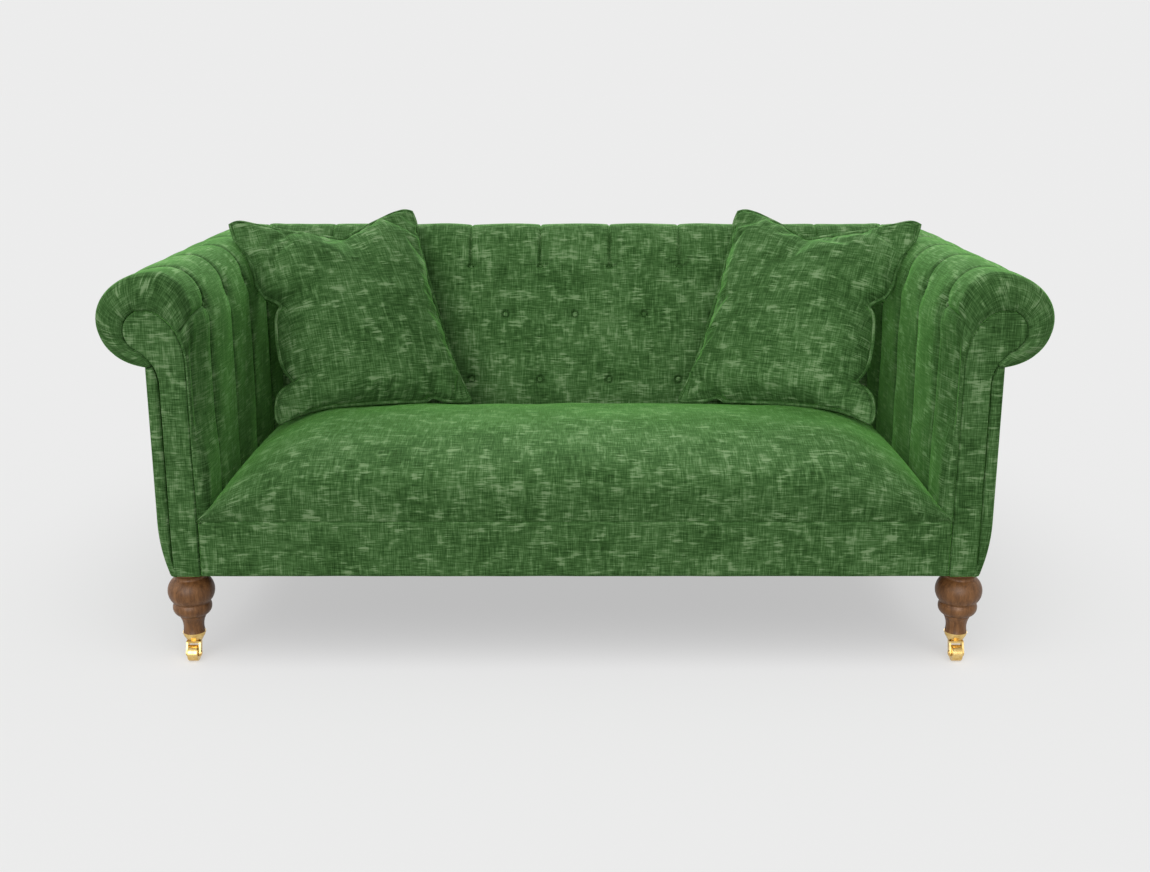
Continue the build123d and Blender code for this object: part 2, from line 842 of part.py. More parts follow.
with BuildPart() as one_leg:
    with BuildSketch(Plane.XZ) as leg_profile:
        with BuildLine():
            Polyline(
                (0, spigot_z),
                (spigot_radius, spigot_z),
                (spigot_radius, cup_top),
                (neck_radius + 1.5, cup_top),
            )
            ThreePointArc(
                (neck_radius + 1.5, cup_top), (neck_radius, leg_z(0.12)), (flare_radius, leg_z(0.24))
            )
            Polyline(
                (flare_radius, leg_z(0.24)),
                (flare_radius, leg_z(0.27)),
                (bead_foot_radius, leg_z(0.27)),
            )
            ThreePointArc(
                (bead_foot_radius, leg_z(0.27)), (bead_radius, leg_z(0.39)), (bead_top_radius, leg_z(0.455))
            )
            Line((bead_top_radius, leg_z(0.455)), (bead_top_radius + 1, leg_z(0.47)))
            ThreePointArc(
                (bead_top_radius + 1, leg_z(0.47)), (bulb_radius, leg_z(0.65)), (waist_radius + 1, leg_z(0.83))
            )
            ThreePointArc(
                (waist_radius + 1, leg_z(0.83)), (waist_radius, leg_z(0.86)), (waist_radius + 3, leg_z(0.89))
            )
            Polyline(
                (waist_radius + 3, leg_z(0.89)),
                (collar_radius, leg_z(0.92)),
                (collar_radius, base_height),
                (bolt_bore, base_height),
                (bolt_bore, base_height - bolt_in_leg - 1),
                (0, base_height - bolt_in_leg - 1),
                (0, spigot_z),
            )
        make_face()
    revolve(axis=Axis.Z)

with BuildPart() as one_bolt:
    with Locations((0, 0, base_height - bolt_in_leg)):
        Cylinder(bolt_radius, bolt_in_leg + bolt_in_frame, align=(Align.CENTER, Align.CENTER, Align.MIN))

# Castor: cup on the leg, horn turning on its king pin, wheel rolling on its axle
fork_inner = wheel_width / 2 + wheel_side_gap
fork_outer = fork_inner + fork_plate
pin_top = spigot_z - 0.5

with BuildPart() as one_cup:
    with BuildSketch(Plane.XZ) as cup_profile:
        with BuildLine():
            Polyline(
                (pin_radius + running_clearance, cup_under),
                (spigot_radius - 2.5, cup_under),
                (spigot_radius + cup_wall, spigot_z + 4),
                (spigot_radius + cup_wall, cup_top - 4),
                (spigot_radius + cup_wall + 1.5, cup_top - 3),
                (spigot_radius + cup_wall + 1.5, cup_top),
                (spigot_radius + running_clearance, cup_top),
                (spigot_radius + running_clearance, spigot_z),
                (pin_radius + running_clearance, spigot_z),
                close=True,
            )
        make_face()
    revolve(axis=Axis.Z)

with BuildPart() as one_horn:
    with BuildSketch(Plane.XY.offset(fork_under)):
        Circle(crown_radius)
        with Locations((0, -trail / 2)):
            Rectangle(2 * fork_outer, trail)
    extrude(amount=fork_top)
    with Locations((0, 0, fork_over)):
        Cylinder(pin_radius, pin_top - fork_over, align=(Align.CENTER, Align.CENTER, Align.MIN))
    for side in (1, -1):
        with BuildSketch(Plane.YZ.offset(side * (fork_inner + fork_plate / 2))):
            with Locations((-trail, wheel_radius)):
                Circle(fork_end_radius)
            with Locations((-trail / 2, fork_under)):
                Rectangle(trail, 2.0, align=(Align.CENTER, Align.MIN))
            make_hull()
            with Locations((-trail, wheel_radius)):
                Circle(axle_radius + running_clearance, mode=Mode.SUBTRACT)
        extrude(amount=fork_plate / 2, both=True)

with BuildPart() as one_axle:
    with BuildSketch(Plane.YZ) as axle_round:
        with Locations((-trail, wheel_radius)):
            Circle(axle_radius)
    extrude(amount=fork_outer, both=True)
    for side in (1, -1):
        with BuildSketch(Plane.YZ.offset(side * (fork_outer + 0.6))):
            with Locations((-trail, wheel_radius)):
                Circle(1.5 * axle_radius)
        extrude(amount=0.6, both=True)

with BuildPart() as one_wheel:
    with BuildSketch(Plane.XY.offset(wheel_radius)) as wheel_profile:
        with BuildLine():
            Polyline(
                (-wheel_width / 2, -trail - wheel_radius + 1.2),
                (-wheel_width / 2, -trail - axle_radius - running_clearance),
                (wheel_width / 2, -trail - axle_radius - running_clearance),
                (wheel_width / 2, -trail - wheel_radius + 1.2),
                (wheel_width / 2 - 1.2, -trail - wheel_radius),
                (-wheel_width / 2 + 1.2, -trail - wheel_radius),
                close=True,
            )
        make_face()
    revolve(axis=Axis((0, -trail, wheel_radius), (1, 0, 0)))

corners = {
    "front_left": (-leg_x, front_leg_y),
    "front_right": (leg_x, front_leg_y),
    "rear_left": (-leg_x, rear_leg_y),
    "rear_right": (leg_x, rear_leg_y),
}
castor_shapes = {
    "leg": one_leg,
    "castor_cup": one_cup,
    "castor_horn": one_horn,
    "castor_axle": one_axle,
    "castor_wheel": one_wheel,
}
for corner, (x, y) in corners.items():
    for kind, shape in castor_shapes.items():
        placed = shape.part.moved(Location((x, y, 0)))
        placed.label = f"{corner}_{kind}"
        export_step(placed, f"parts/{corner}_{kind}.step")

with BuildPart() as leg_bolts:
    for x, y in corners.values():
        add(one_bolt.part.moved(Location((x, y, 0))))
leg_bolts.part.label = "leg_bolts"
export_step(leg_bolts.part, "parts/leg_bolts.step")

# Scatter cushions: two crowned faces sewn round a drawn-in outline
cushion_place = (
    Location((-cushion_from_middle, cushion_back, cushion_centre_height))
    * Location((0, 0, 0), (0, 0, cushion_yaw))
    * Location((0, 0, 0), (90 - cushion_lean, 0, 0))
    * Location((0, 0, 0), (0, 0, cushion_roll))
)
cushion_plane = Plane(cushion_place)


def cushion_outline(height, share, draw, chop, shrink):
    """Four-sided outline with drawn-in sides at a height above the cushion's seam."""
    w = share * cushion_width / 2 - shrink
    h = share * cushion_tall / 2 - shrink
    with BuildSketch(cushion_plane.offset(height)) as face:
        with BuildLine():
            ThreePointArc((-w, h), (0, h - chop), (w, h))
            ThreePointArc((w, h), (w - draw, 0), (w, -h))
            ThreePointArc((w, -h), (0, -h + draw), (-w, -h))
            ThreePointArc((-w, -h), (-w + draw, 0), (-w, h))
        make_face()
    return face.sketch.face()


def pillow(shrink):
    """Closed pillow form, smaller all round by shrink."""
    half = cushion_thickness / 2 - shrink
    with BuildPart() as form:
        for way in (1, -1):
            loft(
                [
                    cushion_outline(0, 1.0, cushion_draw, cushion_chop, shrink),
                    cushion_outline(way * 0.5 * half, 0.84, 0.4 * cushion_draw, 0.7 * cushion_chop, shrink),
                    cushion_outline(way * 0.84 * half, 0.58, -0.5 * cushion_draw, -4.0, shrink),
                    cushion_outline(way * half, 0.26, -0.5 * cushion_draw, -8.0, shrink),
                ]
            )
    return form.part


with BuildPart() as left_cushion_cover:
    add(pillow(0))
    add(pillow(cushion_cloth), mode=Mode.SUBTRACT)
left_cushion_cover.part.label = "left_cushion_cover"
export_step(left_cushion_cover.part, "parts/left_cushion_cover.step")

with BuildPart() as left_cushion_pad:
    add(pillow(cushion_cloth + fit))
left_cushion_pad.part.label = "left_cushion_pad"
export_step(left_cushion_pad.part, "parts/left_cushion_pad.step")

with BuildPart() as left_cushion_piping:
    out = piping_radius + fit
    with BuildLine(cushion_plane) as seam:
        w = cushion_width / 2
        h = cushion_tall / 2
        tip_w = w + 2 * out
        tip_h = h + 2 * out
        ThreePointArc((-tip_w, tip_h), (0, h - cushion_chop + out), (tip_w, tip_h))
        ThreePointArc((tip_w, tip_h), (w - cushion_draw + out, 0), (tip_w, -tip_h))
        ThreePointArc((tip_w, -tip_h), (0, -h + cushion_draw - out), (-tip_w, -tip_h))
        ThreePointArc((-tip_w, -tip_h), (-w + cushion_draw - out, 0), (-tip_w, tip_h))
        fillet(seam.vertices(), radius=1.3 * piping_radius)
    with BuildSketch(Plane(origin=seam.wire() @ 0, z_dir=seam.wire() % 0)):
        Circle(piping_radius)
    sweep(path=seam.wire())
left_cushion_piping.part.label = "left_cushion_piping"
export_step(left_cushion_piping.part, "parts/left_cushion_piping.step")

for piece in (left_cushion_cover, left_cushion_pad, left_cushion_piping):
    with BuildPart() as right_piece:
        mirror(piece.part, about=Plane.YZ)
    right_name = piece.part.label.replace("left", "right")
    right_piece.part.label = right_name
    export_step(right_piece.part, f"parts/{right_name}.step")
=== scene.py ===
"""Looks of the scroll-arm sofa: upholstery, cushions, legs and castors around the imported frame."""

import json
import math

import bpy
import numpy as np
from mathutils import Matrix, Vector


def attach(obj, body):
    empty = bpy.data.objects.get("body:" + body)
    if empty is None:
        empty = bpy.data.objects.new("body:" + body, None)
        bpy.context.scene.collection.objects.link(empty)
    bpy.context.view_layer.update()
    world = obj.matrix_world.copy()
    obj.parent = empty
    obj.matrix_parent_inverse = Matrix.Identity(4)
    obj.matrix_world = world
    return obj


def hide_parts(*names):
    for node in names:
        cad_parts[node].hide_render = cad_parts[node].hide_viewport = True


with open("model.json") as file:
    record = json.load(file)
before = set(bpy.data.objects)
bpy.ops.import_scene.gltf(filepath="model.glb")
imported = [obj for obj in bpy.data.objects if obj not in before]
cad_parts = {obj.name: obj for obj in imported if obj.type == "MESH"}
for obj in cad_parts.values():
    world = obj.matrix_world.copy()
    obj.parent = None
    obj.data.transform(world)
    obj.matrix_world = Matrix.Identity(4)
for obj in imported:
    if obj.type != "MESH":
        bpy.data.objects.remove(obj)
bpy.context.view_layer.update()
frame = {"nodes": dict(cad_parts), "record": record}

# Sizes of the frame and of the rolled section in metres, the same as in the CAD source
ARM_X = 0.688
BACK_Y = 0.283
FRONT_Y = -0.470
BASE_Z = 0.193
BORDER_Z = 0.303
FOOT_Z = 0.2976
SHOULDER_Z = 0.650
ROLL_Z = 0.682
CREST_U = 0.075
CREST_RISE = 0.120
NOTCH_U = 0.101
RAKE = 0.075

# Buttons: pitch along a row, height and count of each back row, height and places of an arm's row, and size
PITCH = 0.162
BACK_ROWS = ((0.681, 8), (0.572, 7), (0.423, 8))
ARM_ROW = 0.700
ARM_BUTTONS = (-0.355, -0.193, -0.031, 0.131)
BUTTON_R = 0.0062
BUTTON_DOME = 0.0038

# Arm front: lines and heights of the facing, its round head, and the depth of the stuffed rim
FACING_IN = 0.023
FACING_OUT = 0.076
FACING_SHOULDER = 0.600
WAIST_Z = 0.565
HEAD_U, HEAD_Z, HEAD_R = 0.097, 0.665, 0.038
HEAD_TOP = 0.703
RIM = 0.032
RIM_FOLDS = ((82, 0.0035), (40, 0.002), (-4, 0.004), (-36, 0.0035))

# Outside panels: top edge, height of the bend above the base, and how far the foot is drawn in
PANEL_TOP = 0.622
PANEL_BEND = 0.107
PANEL_DRAW = 0.018

# Along the seat: front line, crest line, depth behind it, rise over the border, and the front's rounded lip
SEAT_FRONT = -0.464
SEAT_CREST = -0.229
SEAT_DEEP = 0.437
SEAT_RISE = 0.137
SEAT_LIP_Z = 0.368
SEAT_LIP_RISE = 0.072
# Across the seat: half width, half of the flat part, width of the fall to the arm, and share of crown
SEAT_HALF = 0.6875
SEAT_FLAT = 0.4877
SEAT_FALL = 0.2
SEAT_CROWN = 0.04

# Cushions: side, half thickness, place and turns of the left one, room to its neighbours, and piping
CUSHION_SIZE = 0.45
CUSHION_HALF = 0.068
CUSHION_AT = (-0.496, 0.0775, 0.6148)
CUSHION_TURNS = ((31.5, "Z"), (56.5, "X"), (-1.3, "Z"))
CUSHION_ROOM = 0.008
PIPING_R = 0.0040

# How far the cover stands off the solid, the width of a small fold, and where each piece is cut along the cloth
EASE = 0.0015
FOLD = 0.0055
CUT = {
    "back": 3.0,
    "arm": 8.0,
    "facing": 12.0,
    "outside_arm": 15.0,
    "outside_back": 20.0,
    "seat": 25.0,
    "border": 30.0,
    "button": 40.0,
    "cushion": 50.0,
    "piping": 60.0,
}
NAMES = {-1: "left", 1: "right"}

# Camera: lens in mm, place, and degrees below the horizon
LENS = 43.83
CAMERA_AT = (0, -2.972, 1.127)
LOOK_DOWN = 14.7


# Small helpers for curves and fields
def smooth(a, b, x):
    t = np.clip((x - a) / (b - a), 0.0, 1.0)
    return t * t * (3 - 2 * t)


def arc(cx, cz, rx, rz, start, end, n=60):
    a = np.radians(np.linspace(start, end, n))
    return np.stack([cx + rx * np.cos(a), cz + rz * np.sin(a)], 1)


def line(a, b, n=40):
    t = np.linspace(0, 1, n)[:, None]
    return np.array(a) * (1 - t) + np.array(b) * t


def joined(first, *others):
    """One polyline from parts that each start where the last one ends."""
    return np.concatenate([first, *[p[1:] for p in others]])


def lengths(points):
    return np.concatenate([[0.0], np.cumsum(np.linalg.norm(np.diff(points, axis=0), axis=1))])


def at(points, share):
    """Points at shares of a polyline's length."""
    t = lengths(points)
    t = t / t[-1]
    return np.stack([np.interp(share, t, points[:, k]) for k in range(points.shape[1])], -1)


def ripple(a, b, size, seed):
    """Smooth, repeatable unevenness between about -1 and 1."""
    r = np.random.default_rng(seed)
    out = np.zeros(np.broadcast(a, b).shape)
    for _ in range(7):
        turn, shift = r.uniform(0, 2 * math.pi, 2)
        f = 2 * math.pi * r.uniform(0.6, 1.5) / size
        out = out + np.sin(f * (a * math.cos(turn) + b * math.sin(turn)) + shift)
    return out / 3.7


def rounded_edge(away, width):
    """0 at a sewn edge, rising roundly to 1 at a distance from it."""
    return np.sqrt(np.clip(away / width, 0, 1))


def spaced(low, high, step, marks, fine, reach):
    """Positions from low to high, closer together around the marks."""
    v = np.linspace(low, high, int(round((high - low) / step)) + 1)
    for m in marks:
        near = np.arange(m - reach, m + reach + fine / 2, fine)
        v = np.concatenate([v[np.abs(v - m) > reach], near])
    v = np.unique(np.round(np.concatenate([v, [low, high]]), 6))
    v = v[(v >= low - 1e-9) & (v <= high + 1e-9)]
    keep = [v[0]]
    for x in v[1:-1]:
        if x - keep[-1] > 0.6 * fine:
            keep.append(x)
    if v[-1] - keep[-1] < 0.6 * fine:
        keep.pop()
    keep.append(v[-1])
    return np.array(keep)


def normals(p):
    """Unit normals of a grid of points, from its two directions."""
    n = np.cross(np.gradient(p, axis=0), np.gradient(p, axis=1))
    size = np.linalg.norm(n, axis=2, keepdims=True)
    return n / np.maximum(size, 1e-12)


def mirrored(p):
    q = p.copy()
    q[..., 0] = -q[..., 0]
    return q


# Mesh making
def mesh_object(name, verts, faces, uvs, material, body="sofa"):
    """A smooth mesh with a cloth map, riding on a body."""
    mesh = bpy.data.meshes.new(name)
    mesh.from_pydata(np.asarray(verts).tolist(), [], [list(f) for f in faces])
    layer = mesh.uv_layers.new(name="weave")
    index = np.zeros(len(mesh.loops), np.int32)
    mesh.loops.foreach_get("vertex_index", index)
    layer.data.foreach_set("uv", np.asarray(uvs, np.float32)[index].ravel())
    mesh.polygons.foreach_set("use_smooth", np.ones(len(mesh.polygons), bool))
    mesh.update()
    obj = bpy.data.objects.new(name, mesh)
    bpy.context.scene.collection.objects.link(obj)
    mesh.materials.append(material)
    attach(obj, body)
    return obj


def grid_faces(n, m, start=0, flip=False):
    i = start + np.arange(n - 1)[:, None] * m + np.arange(m - 1)[None, :]
    f = np.stack([i, i + m, i + m + 1, i + 1], -1).reshape(-1, 4)
    return f[:, ::-1] if flip else f


def shell(name, grids, material, thickness=0.004, flip=False):
    """One cloth piece from grids of points and cloth coordinates, given a thickness inward."""
    verts, uvs, faces, start = [], [], [], 0
    for p, uv in grids:
        n, m = p.shape[:2]
        verts.append(p.reshape(-1, 3))
        uvs.append(uv.reshape(-1, 2))
        faces.append(grid_faces(n, m, start, flip))
        start += n * m
    obj = mesh_object(name, np.concatenate(verts), np.concatenate(faces), np.concatenate(uvs), material)
    if len(grids) > 1:
        weld = obj.modifiers.new("weld", "WELD")
        weld.merge_threshold = 0.0002
    solid = obj.modifiers.new("cloth", "SOLIDIFY")
    solid.thickness = thickness
    solid.offset = -1.0
    return obj


# Materials
def new_material(name):
    m = bpy.data.materials.new(name)
    m.use_nodes = True
    tree = m.node_tree
    return m, tree, tree.nodes["Principled BSDF"]


def feed(tree, node, inputs):
    """Fills a node's inputs: a socket is linked, anything else is set as a constant."""
    for key, value in inputs.items():
        if isinstance(value, bpy.types.NodeSocket):
            tree.links.new(value, node.inputs[key])
        else:
            node.inputs[key].default_value = value


def add_node(tree, kind, inputs=None, **settings):
    n = tree.nodes.new(kind)
    for key, value in settings.items():
        setattr(n, key, value)
    feed(tree, n, inputs or {})
    return n


def stretched_noise(tree, vector, scale, detail=3.0, rough=0.6, shift=(0, 0, 0), flat=True):
    place = add_node(tree, "ShaderNodeMapping", {"Vector": vector, "Scale": scale, "Location": shift})
    noise = add_node(
        tree,
        "ShaderNodeTexNoise",
        {"Vector": place.outputs[0], "Scale": 1.0, "Detail": detail, "Roughness": rough},
        noise_dimensions="2D" if flat else "3D",
    )
    return noise.outputs[0]


def maths(tree, operation, a, b=0.0, c=0.0):
    n = add_node(tree, "ShaderNodeMath", {0: a, 1: b, 2: c}, operation=operation)
    return n.outputs[0]


def span(tree, value, low, high, to_low=0.0, to_high=1.0):
    n = add_node(
        tree,
        "ShaderNodeMapRange",
        {"Value": value, "From Min": low, "From Max": high, "To Min": to_low, "To Max": to_high},
    )
    return n.outputs[0]


def ramp(tree, value, stops):
    n = add_node(tree, "ShaderNodeValToRGB", {"Fac": value})
    n.color_ramp.elements[0].position = stops[0][0]
    n.color_ramp.elements[0].color = (*stops[0][1], 1)
    n.color_ramp.elements[1].position = stops[-1][0]
    n.color_ramp.elements[1].color = (*stops[-1][1], 1)
    for position, colour in stops[1:-1]:
        e = n.color_ramp.elements.new(position)
        e.color = (*colour, 1)
    return n.outputs[0]


def bumped(tree, height, strength, distance):
    n = add_node(tree, "ShaderNodeBump", {"Height": height, "Strength": strength, "Distance": distance})
    return n.outputs[0]


def own_place(tree):
    return add_node(tree, "ShaderNodeTexCoord").outputs["Object"]


def velvet():
    """Slubbed green cloth: fine crossed threads, clusters of light slubs, cloudy dye."""
    m, tree, shader = new_material("green_velvet")
    uv = add_node(tree, "ShaderNodeUVMap", uv_map="weave").outputs[0]
    weft = stretched_noise(tree, uv, (32, 540, 1), 3, 0.62)
    warp = stretched_noise(tree, uv, (540, 28, 1), 3, 0.62, (3.1, 7.7, 0))
    slub = stretched_noise(tree, uv, (30, 165, 1), 2, 0.5, (1.7, 0.4, 0))
    stripe = stretched_noise(tree, uv, (95, 20, 1), 2, 0.5, (9.2, 4.1, 0))
    cloud = stretched_noise(tree, uv, (7.5, 9.5, 1), 3, 0.55, (5.5, 2.3, 0))
    patch = stretched_noise(tree, uv, (29, 33, 1), 1, 0.5, (2.2, 8.8, 0))
    slub = span(tree, slub, 0.48, 0.70)
    stripe = span(tree, stripe, 0.54, 0.74)
    patch = span(tree, patch, 0.53, 0.72)
    light = maths(tree, "MULTIPLY_ADD", slub, 0.26, -0.17)
    light = maths(tree, "MULTIPLY_ADD", weft, 0.50, light)
    tone = maths(tree, "MULTIPLY", patch, light)
    for field, share in ((weft, 0.62), (warp, 0.52), (slub, 0.09), (stripe, 0.14), (cloud, 0.32)):
        tone = maths(tree, "MULTIPLY_ADD", field, share, tone)
    tone = maths(tree, "SUBTRACT", tone, 0.288)
    stops = (
        (0.26, (0.0220, 0.060, 0.0140)),
        (0.45, (0.0560, 0.139, 0.0380)),
        (0.58, (0.1010, 0.216, 0.0705)),
        (0.78, (0.2240, 0.354, 0.1660)),
    )
    looks = {
        "Base Color": ramp(tree, tone, stops),
        "Normal": bumped(tree, maths(tree, "ADD", weft, warp), 0.35, 0.0012),
        "Roughness": 0.88,
        "Specular IOR Level": 0.05,
        "Sheen Weight": 0.52,
        "Sheen Roughness": 0.31,
        "Sheen Tint": (0.33, 0.95, 0.19, 1),
    }
    feed(tree, shader, looks)
    return m


def wood(name, dark, mid, light, gloss, along=(9, 9, 1.2)):
    """Grain running along the piece, with pores and a worn polish."""
    m, tree, shader = new_material(name)
    place = own_place(tree)
    grain = stretched_noise(tree, place, tuple(14 * a for a in along), 5, 0.65, flat=False)
    pores = stretched_noise(tree, place, tuple(70 * a for a in along), 2, 0.5, flat=False)
    tone = maths(tree, "MULTIPLY_ADD", pores, 0.35, maths(tree, "MULTIPLY", grain, 0.75))
    looks = {
        "Base Color": ramp(tree, tone, ((0.35, dark), (0.55, mid), (0.75, light))),
        "Normal": bumped(tree, tone, 0.2, 0.0008),
        "Roughness": span(tree, tone, 0.3, 0.8, gloss + 0.1, gloss - 0.06),
        "Specular IOR Level": 0.4,
    }
    feed(tree, shader, looks)
    return m


def brass():
    """Aged satin brass, a little cloudy."""
    m, tree, shader = new_material("brass")
    place = own_place(tree)
    cloud = stretched_noise(tree, place, (90, 90, 90), 4, 0.6, flat=False)
    fine = stretched_noise(tree, place, (500, 500, 500), 2, 0.5, flat=False)
    stops = ((0.3, (0.62, 0.40, 0.12)), (0.55, (0.80, 0.57, 0.22)), (0.8, (0.90, 0.70, 0.33)))
    looks = {
        "Base Color": ramp(tree, cloud, stops),
        "Normal": bumped(tree, fine, 0.12, 0.0004),
        "Metallic": 1.0,
        "Roughness": span(tree, cloud, 0.3, 0.8, 0.32, 0.2),
    }
    feed(tree, shader, looks)
    return m


def steel():
    """Oiled spring wire."""
    m, tree, shader = new_material("spring_steel")
    cloud = stretched_noise(tree, own_place(tree), (60, 60, 60), 4, 0.6, flat=False)
    looks = {
        "Base Color": ramp(tree, cloud, ((0.3, (0.26, 0.25, 0.24)), (0.7, (0.50, 0.50, 0.51)))),
        "Metallic": 1.0,
        "Roughness": span(tree, cloud, 0.3, 0.8, 0.45, 0.3),
    }
    feed(tree, shader, looks)
    return m


def plain_cloth(name, dark, light, scale):
    """Simple woven cloth for straps, dust cover and filling."""
    m, tree, shader = new_material(name)
    place = own_place(tree)
    one = stretched_noise(tree, place, (scale, scale * 8, scale), 3, 0.6, flat=False)
    two = stretched_noise(tree, place, (scale * 8, scale, scale), 3, 0.6, (3, 1, 2), flat=False)
    tone = maths(tree, "MULTIPLY", maths(tree, "ADD", one, two), 0.5)
    looks = {
        "Base Color": ramp(tree, tone, ((0.35, dark), (0.65, light))),
        "Normal": bumped(tree, tone, 0.4, 0.001),
        "Roughness": 0.9,
    }
    feed(tree, shader, looks)
    return m


VELVET = velvet()
LEG_TONES = (0.085, 0.034, 0.012), (0.215, 0.095, 0.032), (0.330, 0.155, 0.058)
FRAME_TONES = (0.34, 0.22, 0.12), (0.52, 0.37, 0.22), (0.64, 0.49, 0.31)
by_slot = {
    "green_velvet": VELVET,
    "leg_wood": wood("leg_wood", *LEG_TONES, 0.40),
    "frame_timber": wood("frame_timber", *FRAME_TONES, 0.7, (9, 1.2, 9)),
    "brass": brass(),
    "spring_steel": steel(),
    "webbing": plain_cloth("webbing", (0.30, 0.23, 0.14), (0.50, 0.41, 0.27), 60),
    "dust_cloth": plain_cloth("dust_cloth", (0.012, 0.012, 0.012), (0.035, 0.035, 0.036), 90),
    "wadding": plain_cloth("wadding", (0.66, 0.64, 0.58), (0.82, 0.80, 0.75), 40),
}
for row in frame["record"]["subparts"]:
    node = frame["nodes"][row["node"]]
    node.data.materials.clear()
    node.data.materials.append(by_slot[row["material_slot"]])


# The rolled section shared by arms and back
class Section:
    """Outward distance and height of the cover, by cloth length from the seat up and over the roll."""

    def __init__(self, rake):
        inner = line((-rake, FOOT_Z), (0, SHOULDER_Z), 80)
        rise = arc(CREST_U, SHOULDER_Z, CREST_U, CREST_RISE, 180, 90)
        fall = arc(CREST_U, ROLL_Z, 0.112, 0.088, 90, 0)
        under = arc(NOTCH_U, ROLL_Z, 0.086, 0.084, 0, -90)
        self.points = joined(inner, rise, fall, under)
        self.run = lengths(self.points)
        self.shoulder = lengths(inner)[-1]
        self.crest = lengths(joined(inner, rise))[-1]
        self.nose = lengths(joined(inner, rise, fall))[-1]

    def place(self, t):
        """Outward distance and height at cloth lengths."""
        return np.interp(t, self.run, self.points[:, 0]), np.interp(t, self.run, self.points[:, 1])

    def length_to(self, z):
        """Cloth length up the inside face to a height."""
        top = int(np.argmax(self.points[:, 1]))
        return float(np.interp(z, self.points[: top + 1, 1], self.run[: top + 1]))


BACK, ARM = Section(RAKE), Section(0.0)
BACK_RUNS = [BACK.length_to(z) for z, _ in BACK_ROWS]
ARM_RUN = ARM.length_to(ARM_ROW)


# Relief of a buttoned cover, in cloth coordinates
def row_marks(count):
    return [(i - (count - 1) / 2) * PITCH for i in range(count)]


def tuft(s, t, bs, bt, depth, core):
    """Dimple of one button: a tight pit in a wide soft hollow."""
    r = np.hypot(s - bs, t - bt)
    return -depth * (0.78 * np.exp(-((r / core) ** 4)) + 0.22 * np.exp(-((r / (3.0 * core)) ** 2)))


def pulls(s, t, bs, bt, angles, depth, reach, curl=0.0, above=FOLD):
    """Short folds running out from a button, curling upward as they go; a small width above makes a ledge."""
    r = np.hypot(s - bs, t - bt)
    a = np.arctan2(t - bt, s - bs)
    fade = smooth(0.006, 0.016, r) * (1 - smooth(0.35 * reach, reach, r))
    out = np.zeros_like(r)
    for k in angles:
        angle = math.radians(k)
        hand = math.copysign(1, math.cos(angle))
        way = angle + hand * math.radians(curl) * r / reach
        off = np.angle(np.exp(1j * (a - way))) * r * hand
        out -= depth * np.exp(-((off / np.where(off > 0, above, FOLD)) ** 2)) * fade
    return out


def crease(s, t, a, b, depth, width, ends):
    """A pleat pressed in along a straight line from a to b in cloth coordinates."""
    a, b = np.array(a, float), np.array(b, float)
    d = b - a
    size = np.linalg.norm(d)
    d = d / size
    along = (s - a[0]) * d[0] + (t - a[1]) * d[1]
    across = (s - a[0]) * d[1] - (t - a[1]) * d[0]
    fade = smooth(-ends, ends, along) * (1 - smooth(size - ends, size + ends, along))
    return -depth * np.exp(-np.abs(across) / width) * fade


def scallop(x, marks):
    """Rounded fullness between pleats: -0.75 at a pleat, 0.25 half way."""
    near = np.min(np.abs(x[..., None] - np.array(marks)), axis=-1)
    return np.sqrt(np.clip(np.sin(np.clip(near / PITCH, 0, 0.5) * math.pi), 0, 1)) - 0.75


# Inside back, rolled over the crest
def back_relief(s, t):
    """How far the inside back's cover stands off its section."""
    top = BACK_RUNS[0]
    d = np.full(s.shape, EASE)
    for (_, count), run in zip(BACK_ROWS, BACK_RUNS):
        for bx in row_marks(count):
            if run == top:
                d += tuft(s, t, bx, run, depth=0.0150, core=0.0060)
                d += pulls(s, t, bx, run, (4, 176), depth=0.0080, reach=0.065, curl=55, above=0.0016)
                dash = (bx - 0.007, run), (bx + 0.007, run)
                d += crease(s, t, *dash, depth=0.0150, width=0.0026, ends=0.003)
                over_roll = (bx, run), (bx, BACK.nose + 0.03)
                d += crease(s, t, *over_roll, depth=0.0045, width=0.0016, ends=0.012)
                to_crest = (bx, run + 0.01), (bx, BACK.crest - 0.045)
                d += crease(s, t, *to_crest, depth=0.0105, width=0.0022, ends=0.02)
            else:
                d += tuft(s, t, bx, run, depth=0.0200, core=0.0085)
                d += pulls(s, t, bx, run, (15, 165, 250), depth=0.0018, reach=0.045, curl=20)
    over = smooth(top, BACK.crest, t) * (1 - smooth(BACK.nose, BACK.nose + 0.09, t))
    ends = 1 - smooth(ARM_X - 0.06, ARM_X - 0.005, np.abs(s))
    d += 0.0026 * over * ends * scallop(s, row_marks(8))
    d += 0.0012 * ripple(s, t, 0.16, seed=3) * ends
    by_arm = 1 - smooth(0.0, 0.03, ARM_X - np.abs(s))
    d -= 0.012 * by_arm * (1 - smooth(BACK.shoulder - 0.05, BACK.shoulder, t))
    return d


